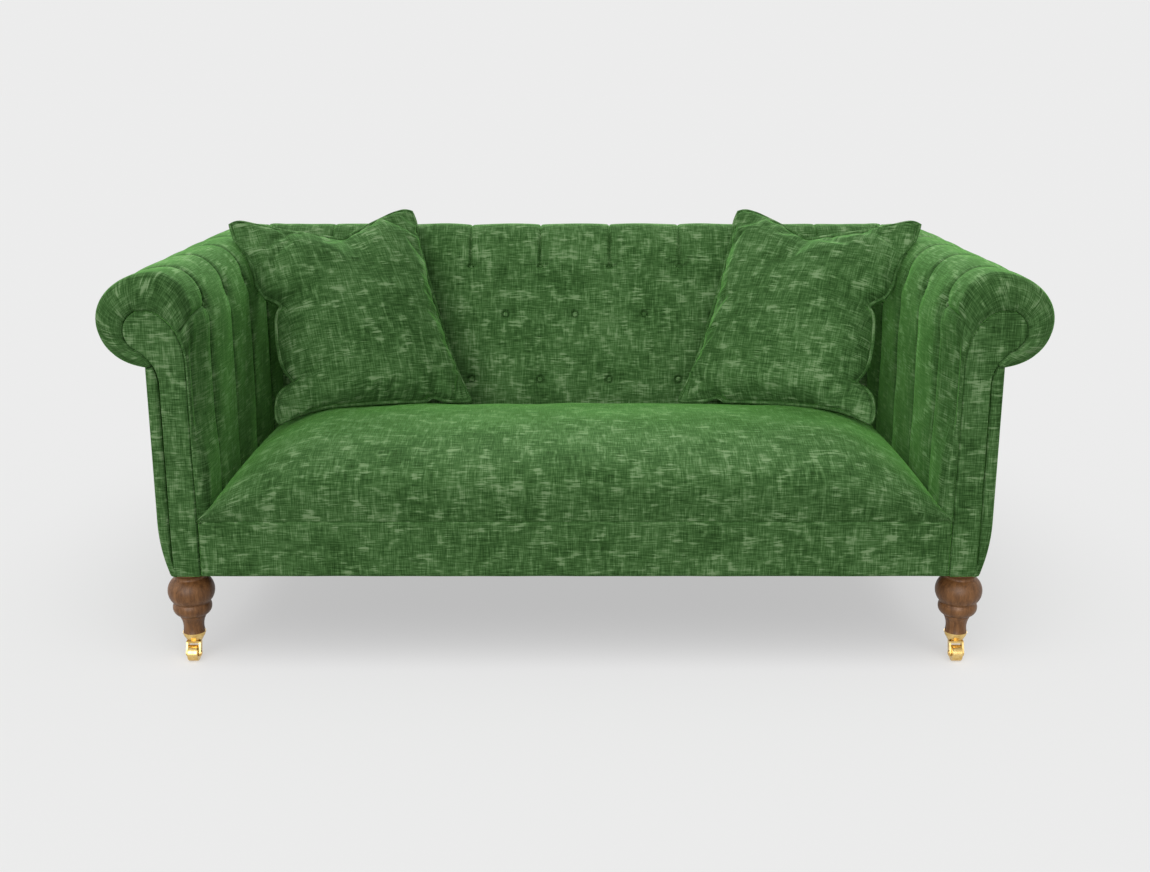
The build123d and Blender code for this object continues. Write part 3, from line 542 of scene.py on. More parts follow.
def back_corner(t, edge):
    """The right rear corner of the roll, turned about an upright axis, with two folds let into it."""
    u, z = BACK.place(t)
    grad = np.gradient(np.stack([u, z], 1), axis=0)
    grad /= np.linalg.norm(grad, axis=1, keepdims=True)
    nu, nz = -grad[:, 1], grad[:, 0]
    radius = 0.15
    a, tt = np.meshgrid(np.radians(np.linspace(90, 0, 31)), t, indexing="ij")
    high = smooth(BACK.shoulder, BACK.crest, tt)
    d = np.zeros_like(a)
    for k in (24, 66):
        d -= 0.006 * np.exp(-np.abs(a - math.radians(k)) * radius / 0.004) * high
    d += 0.004 * high * np.abs(np.sin(a * 3.0)) * np.sin(2 * a)
    d = edge[None, :] + d
    uu = np.maximum(u[None, :] + nu[None, :] * d, 0.0)
    zz = z[None, :] + nz[None, :] * d
    p = np.stack([ARM_X + uu * np.cos(a), BACK_Y + uu * np.sin(a), zz], -1)
    uv = np.stack([CUT["back"] + ARM_X + (math.pi / 2 - a) * radius, tt], -1)
    return p, uv


def build_back():
    top = BACK_RUNS[0]
    x = spaced(-ARM_X, ARM_X, 0.008, row_marks(8) + row_marks(7), fine=0.0014, reach=0.0112)
    t = spaced(0, BACK.run[-1], 0.008, BACK_RUNS[1:], fine=0.0014, reach=0.0112)
    round_top = np.arange(top - 0.0154, top + 0.0355, 0.0014)
    t = np.unique(np.concatenate([t[np.abs(t - top - 0.01) > 0.026], round_top]))
    s_grid, t_grid = np.meshgrid(x, t, indexing="ij")
    u, z = BACK.place(t_grid)
    base = np.stack([s_grid, BACK_Y + u, z], -1)
    d = back_relief(s_grid, t_grid)
    p = base + normals(base) * d[..., None]
    uv = np.stack([s_grid + CUT["back"], t_grid], -1)
    high = t >= BACK.shoulder - 0.03
    corner, corner_uv = back_corner(t[high], d[-1][high])
    other_uv = corner_uv[::-1] * (-1, 1) + (2 * CUT["back"], 0)
    grids = [(p, uv), (corner, corner_uv), (mirrored(corner)[::-1], other_uv)]
    return shell("back_upholstery", grids, VELVET)


back_piece = build_back()
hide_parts("inside_back_cover", "back_pad")


# Outline of the arm front that the facing fills and the rim is sewn to
def post_outline():
    stem = line((FACING_IN, FOOT_Z), (FACING_IN, FACING_SHOULDER))
    rise = arc(HEAD_U, FACING_SHOULDER, 0.074, 0.103, 180, 90)
    head = arc(HEAD_U, HEAD_Z, HEAD_R, HEAD_R, 90, 0)
    low = arc(HEAD_U, HEAD_Z, HEAD_R, HEAD_R, 0, -52)
    tip, waist = low[-1], np.array((FACING_OUT, WAIST_Z))
    mid = (tip + waist) / 2 + np.array((-0.010, 0.006))
    bend = 2 * mid - (tip + waist) / 2
    share = np.linspace(0, 1, 30)[:, None]
    hollow = (1 - share) ** 2 * tip + 2 * share * (1 - share) * bend + share**2 * waist
    return stem, rise, head, joined(low, hollow)


# Arms: one cover from the seat over the roll, wrapped round the front as a stuffed rim
def arm_base(t, y):
    """Points of the cover without relief, along the arm and then round the rim, and their cloth lengths."""
    u, z = ARM.place(t)
    section = np.stack([u, z], 1)
    knots = [0.0, ARM.length_to(FACING_SHOULDER), ARM.crest, ARM.nose, ARM.run[-1]]
    outline = list(post_outline())
    outline[3] = outline[3][outline[3][:, 1] > FACING_SHOULDER]
    seam = np.zeros((len(t), 2))
    for k, part in enumerate(outline):
        inside = (t >= knots[k] - 1e-9) & (t <= knots[k + 1] + 1e-9)
        seam[inside] = at(part, (t[inside] - knots[k]) / (knots[k + 1] - knots[k]))
    gap = seam - section
    size = np.linalg.norm(gap, axis=1)
    first = np.minimum(RIM, 0.8 * size)
    flush = 0.006 * (1 - smooth(0.31, 0.46, z)) * (t < ARM.crest)
    columns = [np.stack([u, np.full_like(u, yy), z], 1) for yy in y]
    runs = list(y)
    for q in np.linspace(0, 1, 22)[1:]:
        bend = min(q / 0.6, 1.0) * math.pi / 2
        rest = max(q - 0.6, 0.0) / 0.4
        inset = first * (1 - math.cos(bend)) + (size - first) * rest
        yy = FRONT_Y + RIM - (RIM - flush) * math.sin(bend) + 0.008 * rest**3
        place = section + gap / size[:, None] * inset[:, None]
        columns.append(np.stack([place[:, 0], yy, place[:, 1]], 1))
        runs.append(FRONT_Y + RIM - 0.075 * q)
    return np.array(columns), np.array(runs)


def arm_relief(s, t, side):
    """How far an arm's cover stands off its base."""
    d = np.full(s.shape, EASE)
    body = smooth(FRONT_Y + 0.010, FRONT_Y + 0.05, s)
    for by in ARM_BUTTONS:
        d += tuft(s, t, by, ARM_RUN, depth=0.0190, core=0.0085) * body
        d += pulls(s, t, by, ARM_RUN, (50, 130, 235, 300), depth=0.0012, reach=0.045)
        d += crease(s, t, (by, ARM_RUN), (by, ARM.nose + 0.03), depth=0.0032, width=0.0040, ends=0.012)
        d += crease(s, t, (by, 0.16), (by, ARM_RUN), depth=0.0018, width=0.0050, ends=0.08)
    over = smooth(ARM_RUN, ARM.crest, t) * (1 - smooth(ARM.nose, ARM.nose + 0.09, t))
    lower = 1 - smooth(ARM_RUN - 0.08, ARM_RUN, t)
    ends = smooth(FRONT_Y + 0.02, FRONT_Y + 0.10, s) * (1 - smooth(BACK_Y - 0.06, BACK_Y - 0.005, s))
    full = scallop(s, ARM_BUTTONS)
    d += 0.0032 * over * ends * full
    d += 0.0036 * lower * ends * full
    d += 0.0012 * ripple(s, t, 0.16, seed=11 + side) * ends
    to_front = (FRONT_Y - 0.024, ARM_RUN - 0.012), (ARM_BUTTONS[0], ARM_RUN)
    d += crease(s, t, *to_front, depth=0.0055, width=0.0045, ends=0.014)
    run = t[0]
    u, z = ARM.place(run)
    head = np.arctan2(z - HEAD_Z, u - HEAD_U)
    head = np.where(head < -2.4, head + 2 * math.pi, head)
    for angle, depth in RIM_FOLDS:
        k = int(np.argmin(np.abs(head - math.radians(angle)) + 10 * (run < ARM.crest - 0.06)))
        fold = (FRONT_Y - 0.05, run[k]), (FRONT_Y + 0.012, run[k])
        d += crease(s, t, *fold, depth=depth, width=FOLD, ends=0.014)
    d -= 0.004 * smooth(BACK_Y - 0.012, BACK_Y, s) * smooth(ARM.crest - 0.1, ARM.crest, t)
    round_off = smooth(FRONT_Y - 0.030, FRONT_Y + 0.02, s) * (1 - smooth(FRONT_Y, FRONT_Y + 0.15, s))
    upper = smooth(0.40, 0.52, z) * (1 - smooth(ARM.length_to(FACING_SHOULDER), ARM.crest - 0.04, run))
    d -= 0.019 * round_off * upper[None, :]
    return d


def build_arm(side):
    name = NAMES[side]
    t = spaced(0, ARM.run[-1], 0.006, [ARM_RUN], fine=0.0012, reach=0.012)
    y = spaced(FRONT_Y + RIM, BACK_Y, 0.005, ARM_BUTTONS, fine=0.0012, reach=0.012)[::-1]
    base, runs = arm_base(t, y)
    s_grid, t_grid = np.meshgrid(runs, t, indexing="ij")
    p = base + normals(base) * arm_relief(s_grid, t_grid, side)[..., None]
    p[..., 0] += ARM_X
    if side < 0:
        p = mirrored(p)
    front = FRONT_Y + 0.01
    drawn = np.minimum(s_grid, front) + 0.65 * np.maximum(s_grid - front, 0)
    uv = np.stack([drawn + CUT["arm"] + side, t_grid], -1)
    piece = shell(f"{name}_arm_upholstery", [(p, uv)], VELVET, flip=side < 0)
    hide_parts(f"{name}_inside_arm_cover", f"{name}_arm_pad")
    return piece


arm_pieces = [build_arm(side) for side in (-1, 1)]


# Facings: flat panels with a slightly stuffed face, sewn in round their edge
def build_facing(side):
    name = NAMES[side]
    stem, rise, head, low = post_outline()
    inner = joined(line((FACING_IN, BASE_Z), (FACING_IN, FOOT_Z)), stem, rise)
    outer = joined(head, low, line((FACING_OUT, WAIST_Z), (FACING_OUT, BASE_Z)))[::-1]
    closer = 0.66
    rest = 1 - np.linspace(0, 1, 26)[1:]
    z = np.concatenate([np.linspace(BASE_Z, closer, 110), HEAD_TOP - (HEAD_TOP - closer) * rest**2])
    left = np.interp(z, inner[:, 1], inner[:, 0])
    right = np.interp(z, outer[:, 1], outer[:, 0])
    share = (1 - np.cos(np.linspace(0, math.pi, 28))) / 2
    u = left[:, None] + (right - left)[:, None] * share[None, :]
    zz = np.repeat(z[:, None], len(share), 1)
    width = np.maximum(right - left, 1e-4)[:, None]
    away = np.minimum(share[None, :] * width, (1 - share[None, :]) * width)
    away = np.minimum(away, np.maximum(HEAD_TOP - zz, 0) * 0.8)
    seam_y, stuffing = -0.4580, 0.0100
    y = seam_y - stuffing * rounded_edge(away, 0.003)
    y = y - 0.0012 * ripple(u, zz, 0.12, seed=21)
    y = np.where(zz < BASE_Z + 0.004, y + 0.002, y)
    p = np.stack([side * (ARM_X + u), y, zz], -1)
    uv = np.stack([u + CUT["facing"] + side, zz], -1)
    piece = shell(f"{name}_facing", [(p, uv)], VELVET, flip=side > 0)
    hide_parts(f"{name}_arm_facing")
    return piece


facings = [build_facing(side) for side in (-1, 1)]


# Outside arms and back: plain panels drawn in under the frame
def panel_lines():
    """Heights up an outside panel, and its outward line at each."""
    middle = 0.30
    z = joined(np.linspace(BASE_Z, middle, 30), np.linspace(middle, PANEL_TOP, 50))
    radius = (PANEL_BEND**2 + PANEL_DRAW**2) / (2 * PANEL_DRAW)
    drop = np.maximum(BASE_Z + PANEL_BEND - z, 0)
    return z, NOTCH_U - (radius - np.sqrt(radius**2 - drop**2))


def build_outside_arm(side):
    name = NAMES[side]
    z, edge = panel_lines()
    front, radius, lap, length = -0.4615, 0.014, 0.012, 0.84
    hollow = post_outline()[3][::-1]
    seam = np.where(z < WAIST_Z, FACING_OUT, np.interp(z, hollow[:, 1], hollow[:, 0])) + 0.0005
    seam = np.minimum(seam, edge - radius - 0.001)
    tuck = 0.012 * smooth(0.594, 0.604, z)
    columns, runs = [], []
    for q in np.linspace(0, 1, 7):
        yy = front - 0.006 * math.sin(math.pi * min(q * 1.4 + 0.02, 1) / 2)
        u = seam + (edge - radius - seam) * q
        columns.append(np.stack([u, yy + tuck, z], 1))
        runs.append(q * lap)
    face_y = columns[-1][0, 1]
    for a in np.radians(np.linspace(0, 90, 9)[1:]):
        u = edge - radius + radius * math.sin(a)
        columns.append(np.stack([u, face_y + radius * (1 - math.cos(a)) + tuck * math.cos(a), z], 1))
        runs.append(lap + radius * a)
    start_y, end_y = face_y + radius, BACK_Y + edge
    for q in np.linspace(0, 1, 90)[1:]:
        yy = start_y + (end_y - start_y) * q
        u = edge - 0.004 * np.clip((q - 0.985) / 0.015, 0, 1) ** 2
        columns.append(np.stack([u, yy, z], 1))
        runs.append(0.034 + length * q)
    p = np.array(columns)
    s_grid, z_grid = np.meshgrid(np.array(runs), z, indexing="ij")
    p[..., 0] += 0.0012 * ripple(s_grid, z_grid, 0.22, seed=31) * smooth(0.05, 0.12, s_grid)
    p[..., 0] += ARM_X
    if side < 0:
        p = mirrored(p)
    uv = np.stack([s_grid + CUT["outside_arm"] + side, z_grid], -1)
    piece = shell(f"{name}_outside_arm", [(p, uv)], VELVET, flip=side < 0)
    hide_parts(f"{name}_outside_arm_cover")
    return piece


outside_arms = [build_outside_arm(side) for side in (-1, 1)]


def build_outside_back():
    z, edge = panel_lines()
    share = np.linspace(-1, 1, 180)
    half = ARM_X + edge - 0.0045
    x = share[:, None] * half[None, :]
    y = BACK_Y + np.repeat(edge[None, :], len(share), 0)
    zz = np.repeat(z[None, :], len(share), 0)
    y = y - 0.005 * np.clip((np.abs(share)[:, None] - 0.99) / 0.01, 0, 1) ** 2
    y = y + 0.0015 * ripple(x, zz, 0.3, seed=41)
    p = np.stack([x, y, zz], -1)
    uv = np.stack([x + CUT["outside_back"], zz], -1)
    piece = shell("outside_back", [(p, uv)], VELVET, flip=True)
    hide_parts("outside_back_cover")
    return piece


outside_back = build_outside_back()


# Seat: one tight cover over a crowned pad, with the plain border below its seam
def seat_profile():
    tuck = 0.007
    seam = line((SEAT_FRONT + tuck, BORDER_Z - tuck), (SEAT_FRONT, BORDER_Z), 4)
    face = line((SEAT_FRONT, BORDER_Z), (SEAT_FRONT, SEAT_LIP_Z), 30)
    lip = arc(SEAT_CREST, SEAT_LIP_Z, SEAT_CREST - SEAT_FRONT, SEAT_LIP_RISE, 180, 90)
    fall = arc(SEAT_CREST, BORDER_Z, SEAT_DEEP, SEAT_RISE, 90, 0)
    return joined(seam, face, lip, fall)


def build_seat():
    profile = seat_profile()
    run = lengths(profile)
    r = joined(np.linspace(0, 0.04, 14), np.linspace(0.04, run[-1], 170))
    share = np.linspace(-1, 1, 260)
    share = np.sign(share) * np.abs(share) ** 0.85
    yy = np.interp(r, run, profile[:, 0])
    zz = np.interp(r, run, profile[:, 1])
    bulge = 0.005 * np.sin(np.pi * np.clip((zz - BORDER_Z) / 0.11, 0, 1))
    yy = yy - bulge * (1 - smooth(SEAT_FRONT, -0.40, yy))
    before_arms = 0.0235
    wide = SEAT_HALF + before_arms * (1 - smooth(SEAT_FRONT, -0.438, yy))
    x = share[:, None] * wide[None, :]
    out = np.abs(share)[:, None] * SEAT_HALF
    beyond = np.clip((out - SEAT_FLAT) / SEAT_FALL, 0, 1)
    lift = np.clip(1 - beyond**1.7, 0, 1) ** 0.72
    foot = np.minimum(BORDER_Z + 0.024 * smooth(SEAT_FRONT, -0.436, yy), zz)[None, :]
    crown = 1 - SEAT_CROWN * np.clip(out / SEAT_FLAT, 0, 1) ** 2
    z = foot + (zz[None, :] - foot) * lift * crown
    y = np.repeat(yy[None, :], len(share), 0)
    r_grid = np.repeat(r[None, :], len(share), 0)
    z = z + 0.0016 * ripple(x, r_grid, 0.20, seed=51) * smooth(0.05, 0.15, r_grid) * lift
    p = np.stack([x, y, z], -1)
    uv = np.stack([x + CUT["seat"], r_grid], -1)
    piece = shell("seat_upholstery", [(p, uv)], VELVET, thickness=0.006)
    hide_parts("seat_cover", "seat_pad")
    return piece


seat_piece = build_seat()


def build_border():
    half, height = 0.7105, 0.11
    share = np.linspace(-1, 1, 240)
    share = np.sign(share) * (1 - (1 - np.abs(share)) ** 1.15)
    high = joined(np.linspace(0, 0.1, 8), np.linspace(0.1, 0.9, 20), np.linspace(0.9, 1, 8))
    x, h = np.meshgrid(share * half, high, indexing="ij")
    z = BASE_Z + h * (BORDER_Z - BASE_Z - 0.0006)
    edge = np.minimum(np.minimum(h * height, (1 - h) * height), half - np.abs(x))
    seam_y, stuffing = -0.4630, 0.0035
    y = seam_y - stuffing * rounded_edge(edge, 0.005)
    y = y - 0.0008 * ripple(x, z, 0.18, seed=61)
    p = np.stack([x, y, z], -1)
    uv = np.stack([x + CUT["border"], z], -1)
    piece = shell("seat_border", [(p, uv)], VELVET)
    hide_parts("front_border")
    return piece


border_piece = build_border()


# Covered buttons, one mesh: low domes on short necks in the bottoms of the tufts
def button_spots():
    """Place on the section, upward direction, outward normal and depth of each button."""
    spots = []
    step = 0.002
    for (z, count), run in zip(BACK_ROWS, BACK_RUNS):
        deep = 0.0225 if run == BACK_RUNS[0] else 0.0165
        u, (next_u, next_z) = float(BACK.place(run)[0]), BACK.place(run + step)
        up = Vector((0, next_u - u, next_z - z)).normalized()
        for x in row_marks(count):
            spots.append((Vector((x, BACK_Y + u, z)), up, Vector((1, 0, 0)).cross(up), deep))
    u, (next_u, next_z) = float(ARM.place(ARM_RUN)[0]), ARM.place(ARM_RUN + step)
    for side in (-1, 1):
        up = Vector((side * (next_u - u), 0, next_z - ARM_ROW)).normalized()
        normal = Vector((-side * up.z, 0, abs(up.x)))
        for y in ARM_BUTTONS:
            spots.append((Vector((side * (ARM_X + u), y, ARM_ROW)), up, normal, 0.0155))
    return spots


def build_buttons():
    verts, faces, uvs = [], [], []
    rings, count = 7, 20
    for place, up, normal, deep in button_spots():
        across = up.cross(normal)
        start = len(verts)
        origin = place - normal * deep
        cut_s, cut_t = place.x + CUT["button"], place.z + place.y
        verts.append(origin + normal * (BUTTON_R + BUTTON_DOME))
        uvs.append((cut_s, cut_t))
        for ring in range(1, rings + 1):
            a = ring / rings * math.radians(105)
            radius, high = BUTTON_R * math.sin(a), BUTTON_R + BUTTON_DOME * math.cos(a)
            if ring == rings:
                radius, high = 0.0045, -0.001
            for k in range(count):
                b = 2 * math.pi * k / count
                verts.append(origin + normal * high + (across * math.cos(b) + up * math.sin(b)) * radius)
                uvs.append((cut_s + radius * math.cos(b), cut_t + radius * math.sin(b)))
        for k in range(count):
            faces.append((start, start + 1 + k, start + 1 + (k + 1) % count))
        for ring in range(rings - 1):
            for k in range(count):
                a = start + 1 + ring * count + k
                b = start + 1 + ring * count + (k + 1) % count
                faces.append((a, a + count, b + count, b))
        faces.append(tuple(start + 1 + (rings - 1) * count + k for k in range(count))[::-1])
    piece = mesh_object("covered_buttons", [tuple(v) for v in verts], faces, uvs, VELVET)
    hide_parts("buttons")
    return piece


button_piece = build_buttons()


# Scatter cushions: two sewn panels, filled, with piping in the seam
# The seam as it sits, in mm in the cushion's own plane, each side from left to right or from bottom to top
CUSHION_TOP = (
    (-221, 217), (-204, 224), (-186, 220), (-125, 201), (-60, 187), (-10, 178), (22, 168), (52, 183),
    (108, 208), (161, 230), (193, 238), (209, 233),
)
CUSHION_BOTTOM = (
    (-213, -248), (-206, -252), (-178, -240), (-141, -228), (-87, -226), (-8, -228), (72, -231), (118, -234),
    (142, -222), (167, -236), (223, -247), (229, -243),
)
CUSHION_LEFT = (
    (-213, -248), (-218, -239), (-215, -216), (-204, -186), (-189, -172), (-158, -160), (-171, -142),
    (-181, -114), (-178, -62), (-169, -10), (-159, 9), (-146, 19), (-169, 35), (-183, 40), (-192, 69),
    (-207, 123), (-218, 176), (-221, 217),
)
CUSHION_RIGHT = (
    (229, -243), (219, -190), (212, -138), (208, -70), (205, 39), (206, 122), (208, 180), (213, 206),
    (209, 233),
)


def eased(points, n, rounds):
    """A side of the seam at even steps, softened."""
    p = at(np.array(points, float) / 1000, np.linspace(0, 1, n))
    for _ in range(rounds):
        p[1:-1] = (p[:-2] + 2 * p[1:-1] + p[2:]) / 4
    return p


def cushion_form(n, seed):
    """Both panels in the cushion's own plane, how the front one hangs over its seam, and half the thickness."""
    a, b = np.meshgrid(np.linspace(0, 1, n), np.linspace(0, 1, n), indexing="ij")
    sides = (CUSHION_TOP, CUSHION_BOTTOM, CUSHION_LEFT, CUSHION_RIGHT)
    soft = [eased(side, n, 150) for side in sides]
    tucks = [eased(side, n, 3) - even for side, even in zip(sides, soft)]
    top, bottom, left, right = soft
    av, bv = a[..., None], b[..., None]
    p = bv * top[:, None] + (1 - bv) * bottom[:, None] + av * right[None, :] + (1 - av) * left[None, :]
    p = p - av * bv * top[-1] - (1 - av) * bv * top[0]
    p = p - av * (1 - bv) * bottom[-1] - (1 - av) * (1 - bv) * bottom[0]
    pinch = np.zeros((n, n))
    for tuck, inward, away, lengthwise in (
        (tucks[0], (0, -1), 1 - b, True),
        (tucks[1], (0, 1), b, True),
        (tucks[2], (1, 0), a, False),
        (tucks[3], (-1, 0), 1 - a, False),
    ):
        deep = tuck[:, None] if lengthwise else tuck[None, :]
        p = p + deep * np.exp(-away * CUSHION_SIZE / 0.035)[..., None]
        pull = np.clip(tuck @ np.array(inward), 0, None) / 0.02
        pull = pull[:, None] if lengthwise else pull[None, :]
        pinch = np.maximum(pinch, np.clip(pull, 0, 1) * np.exp(-away * CUSHION_SIZE / 0.055))
    wide, tall = 2 * a - 1, 2 * b - 1
    full = np.clip((1 - wide**2) * (1 - tall**2), 0, 1) ** 0.45
    dent = 1 - 0.22 * np.exp(-((wide - 0.1) ** 2) / 0.1) * smooth(0.55, 1.0, b)
    z = CUSHION_HALF * full * dent * (1 - 0.42 * pinch) * (1 + 0.10 * (0.5 - b))
    z = z * (1 + 0.035 * ripple(p[..., 0], p[..., 1], 0.11, seed))
    under, beside = b * CUSHION_SIZE / 0.016, (1 - a) * CUSHION_SIZE / 0.016
    outward = 0.008 * beside * np.exp(1 - beside) * smooth(0, 0.2, b)
    downward = -0.009 * under * np.exp(1 - under)
    hang = np.stack([outward, downward], -1) * np.clip(full * 2, 0, 1)[..., None]
    return p, hang, z


def settled(verts, faces, held):
    """Lets the sewn panels settle over their filling with the seam held, each point moving 12 mm at most."""
    frames, reach = 20, 0.012
    scene = bpy.context.scene
    mesh = bpy.data.meshes.new("settling")
    mesh.from_pydata(verts.tolist(), [], faces.tolist())
    obj = bpy.data.objects.new("settling", mesh)
    scene.collection.objects.link(obj)
    obj.vertex_groups.new(name="seam").add([int(i) for i in held], 1.0, "REPLACE")
    cloth = obj.modifiers.new("settling", "CLOTH")
    rule = cloth.settings
    rule.quality = 6
    rule.mass = 0.25
    rule.tension_stiffness = rule.compression_stiffness = 18
    rule.shear_stiffness = 6
    rule.bending_stiffness = 0.3
    rule.vertex_group_mass = "seam"
    rule.use_pressure = True
    rule.uniform_pressure_force = 4
    rule.shrink_min = -0.05
    rule.effector_weights.gravity = 0
    cloth.point_cache.frame_start = 1
    cloth.point_cache.frame_end = frames
    for f in range(1, frames + 1):
        scene.frame_set(f)
    seen = obj.evaluated_get(bpy.context.evaluated_depsgraph_get())
    moved = np.zeros(len(verts) * 3, np.float32)
    seen.data.vertices.foreach_get("co", moved)
    step = moved.reshape(-1, 3) - verts
    size = np.linalg.norm(step, axis=1, keepdims=True)
    bpy.data.objects.remove(obj)
    scene.frame_set(1)
    return verts + step * np.minimum(1, reach / np.maximum(size, 1e-9))


def kept_clear(p, room):
    """Keeps points of the left cushion off the seat and the arm."""
    p = p.copy()
    u = -p[:, 0] - ARM_X
    across = (u - CREST_U) / (CREST_U + room)
    upward = (p[:, 2] - SHOULDER_Z) / (CREST_RISE + room)
    over = np.sqrt(across**2 + upward**2)
    inside = (p[:, 2] > SHOULDER_Z) & (u < CREST_U) & (over < 1)
    lift = np.where(inside, 1 / np.maximum(over, 0.3), 1.0)
    p[:, 0] = np.where(inside, -(ARM_X + CREST_U + (u - CREST_U) * lift), p[:, 0])
    p[:, 2] = np.where(inside, SHOULDER_Z + (p[:, 2] - SHOULDER_Z) * lift, p[:, 2])
    p[:, 0] = np.where(p[:, 2] <= SHOULDER_Z, np.maximum(p[:, 0], room - ARM_X), p[:, 0])
    slope = np.sqrt(np.clip(1 - (np.maximum(p[:, 1] - SEAT_CREST, 0) / SEAT_DEEP) ** 2, 0, 1))
    out = np.abs(p[:, 0])
    fall = np.sqrt(np.clip(1 - np.clip((out - SEAT_FLAT) / SEAT_FALL, 0, 1) ** 2.2, 0, 1))
    crown = 1 - SEAT_CROWN * np.clip(out / SEAT_FLAT, 0, 1) ** 2
    seat = BORDER_Z + SEAT_RISE * slope * fall * crown
    p[:, 2] = np.maximum(p[:, 2], seat + room)
    return p


def piping(ring, axis):
    """Points, faces and cloth map of a cord along the closed seam of a cushion that faces along an axis."""
    tangent = np.roll(ring, -1, 0) - np.roll(ring, 1, 0)
    tangent /= np.linalg.norm(tangent, axis=1, keepdims=True)
    outward = np.cross(tangent, axis)
    outward /= np.linalg.norm(outward, axis=1, keepdims=True)
    third = np.cross(tangent, outward)[:, None, :]
    outward = outward[:, None, :]
    count = 10
    turns = np.linspace(0, 2 * math.pi, count, endpoint=False)
    tube = ring[:, None, :] + 0.0008 * outward
    tube = tube + PIPING_R * (outward * np.cos(turns)[None, :, None] + third * np.sin(turns)[None, :, None])
    m = len(ring)
    i, k = np.arange(m)[:, None], np.arange(count)[None, :]
    after, beside = (i + 1) % m, (k + 1) % count
    quads = np.stack([i * count + k, i * count + beside, after * count + beside, after * count + k], -1)
    along = np.repeat(lengths(np.concatenate([ring, ring[:1]]))[:-1, None], count, 1)
    around = np.repeat(turns[None, :] * PIPING_R, m, 0)
    uvs = np.stack([along + CUT["piping"], around], -1)
    return tube.reshape(-1, 3), quads.reshape(-1, 4), uvs.reshape(-1, 2)


def build_cushion(side):
    name = NAMES[side]
    n = 81
    flat, hang, z = cushion_form(n, 70 + side)
    front = np.concatenate([flat + hang, z[..., None]], -1).reshape(-1, 3)
    back = np.concatenate([flat, -z[..., None]], -1).reshape(-1, 3)
    inner = np.ones((n, n), bool)
    inner[0, :] = inner[-1, :] = inner[:, 0] = inner[:, -1] = False
    inner = inner.ravel()
    back_index = np.arange(n * n)
    back_index[inner] = n * n + np.arange(inner.sum())
    faces = np.concatenate([grid_faces(n, n), back_index[grid_faces(n, n, flip=True)]])
    verts = np.concatenate([front, back[inner]])
    flat = flat.reshape(-1, 2) + (CUT["cushion"] + side, 2)
    uvs = np.concatenate([flat, flat[inner] + (3, 0)])
    bottom, right = np.arange(n) * n, (n - 1) * n + np.arange(1, n)
    top, left = np.arange(n - 2, -1, -1) * n + n - 1, np.arange(n - 2, 0, -1)
    edge = np.concatenate([bottom, right, top, left])
    verts = settled(verts, faces, edge)
    place = Matrix.Translation(CUSHION_AT)
    for angle, axis in CUSHION_TURNS:
        place = place @ Matrix.Rotation(math.radians(angle), 4, axis)
    turn = np.array(place)
    panels = kept_clear(verts @ turn[:3, :3].T + turn[:3, 3], CUSHION_ROOM)
    tube, quads, tube_uvs = piping(panels[edge], turn[:3, 2])
    if side > 0:
        panels, tube = mirrored(panels), mirrored(tube)
        faces, quads = faces[:, ::-1], quads[:, ::-1]
    piece = mesh_object(f"{name}_cushion", panels, faces, uvs, VELVET, f"{name}_cushion")
    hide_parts(f"{name}_cushion_cover", f"{name}_cushion_pad")
    sub = piece.modifiers.new("smooth", "SUBSURF")
    sub.levels = sub.render_levels = 1
    cord = mesh_object(f"{name}_piping", tube, quads, tube_uvs, VELVET, f"{name}_cushion")
    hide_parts(f"{name}_cushion_piping")
    return piece, cord


cushions = [build_cushion(side) for side in (-1, 1)]


# Stage, light and camera
def looked_at(tree):
    """1 for rays that show the stage itself, 0 for those that only gather its light."""
    path = add_node(tree, "ShaderNodeLightPath")
    seen = maths(tree, "MAXIMUM", path.outputs["Is Camera Ray"], path.outputs["Is Glossy Ray"])
    return maths(tree, "MAXIMUM", seen, path.outputs["Is Transmission Ray"])


def floor_material():
    m = bpy.data.materials.new("stage_floor")
    m.use_nodes = True
    tree = m.node_tree
    tree.nodes.clear()
    seen = looked_at(tree)
    part = maths(tree, "MULTIPLY", seen, 0.45)
    grey = maths(tree, "MULTIPLY_ADD", seen, 0.58, 0.15)
    diffuse = add_node(tree, "ShaderNodeBsdfDiffuse", {"Color": grey})
    glow = add_node(tree, "ShaderNodeEmission", {"Color": (1.09, 1.09, 1.09, 1), "Strength": 1.0})
    mix = add_node(tree, "ShaderNodeMixShader", {0: part, 1: diffuse.outputs[0], 2: glow.outputs[0]})
    add_node(tree, "ShaderNodeOutputMaterial", {0: mix.outputs[0]})
    return m


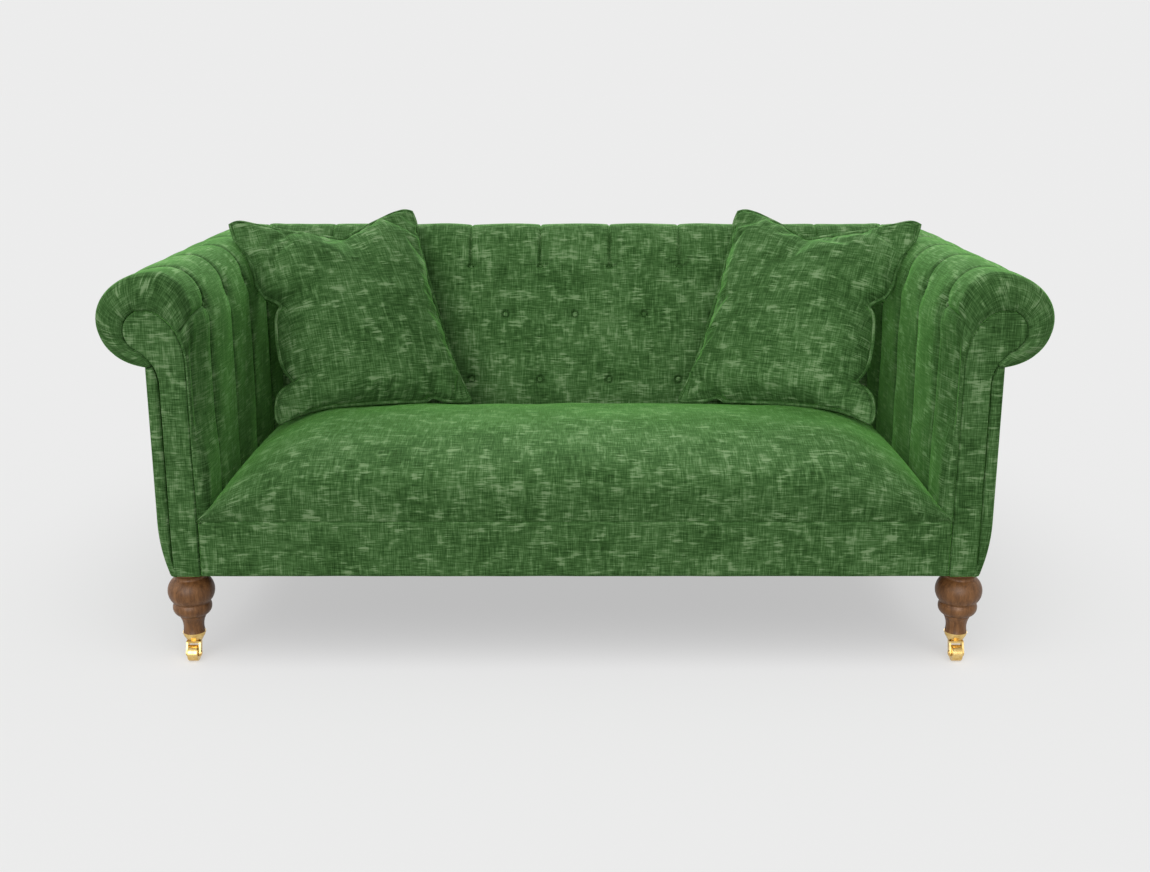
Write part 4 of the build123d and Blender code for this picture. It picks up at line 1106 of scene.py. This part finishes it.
def studio_world():
    world = bpy.data.worlds.new("studio")
    world.use_nodes = True
    tree = world.node_tree
    tree.nodes.clear()
    seen = looked_at(tree)
    soft = add_node(tree, "ShaderNodeBackground", {"Color": (1, 1, 1, 1), "Strength": 0.34})
    plain = add_node(tree, "ShaderNodeBackground", {"Color": (0.84, 0.84, 0.84, 1), "Strength": 1.0})
    mix = add_node(tree, "ShaderNodeMixShader", {0: seen, 1: soft.outputs[0], 2: plain.outputs[0]})
    add_node(tree, "ShaderNodeOutputWorld", {0: mix.outputs[0]})
    return world


floor_mesh = bpy.data.meshes.new("floor")
floor_mesh.from_pydata([(-60, -60, 0), (60, -60, 0), (60, 60, 0), (-60, 60, 0)], [], [(0, 1, 2, 3)])
floor = bpy.data.objects.new("floor", floor_mesh)
floor.data.materials.append(floor_material())
bpy.context.scene.collection.objects.link(floor)
bpy.context.scene.world = studio_world()

# One lamp gives the floor its plain shadow, and soft lamps in front, behind and to the left light the sofa
floor_lit = bpy.data.collections.new("floor_lit")
sofa_lit = bpy.data.collections.new("sofa_lit")
floor_lit.objects.link(floor)
sofa_lit.objects.link(floor)
sofa_lit.collection_objects[0].light_linking.link_state = "EXCLUDE"


def sun(name, strength, angle, tilt, lit):
    lamp = bpy.data.lights.new(name, "SUN")
    lamp.energy = strength
    lamp.angle = math.radians(angle)
    obj = bpy.data.objects.new(name, lamp)
    obj.rotation_euler = [math.radians(t) for t in tilt]
    obj.light_linking.receiver_collection = lit
    bpy.context.scene.collection.objects.link(obj)


sun("overhead", strength=1.93, angle=62, tilt=(30, 0, 0), lit=floor_lit)
sun("front", strength=1.60, angle=45, tilt=(66, -26, 0), lit=sofa_lit)
sun("rear", strength=2.65, angle=45, tilt=(-51, 3, 0), lit=sofa_lit)
sun("side", strength=0.3, angle=45, tilt=(10, -60, 0), lit=sofa_lit)

view = bpy.data.cameras.new("camera")
view.lens = LENS
view.sensor_width = 36.0
camera = bpy.data.objects.new("camera", view)
camera.location = CAMERA_AT
camera.rotation_euler = (math.radians(90 - LOOK_DOWN), 0, 0)
bpy.context.scene.collection.objects.link(camera)
bpy.context.scene.camera = camera
bpy.context.scene.view_settings.view_transform = "Standard"
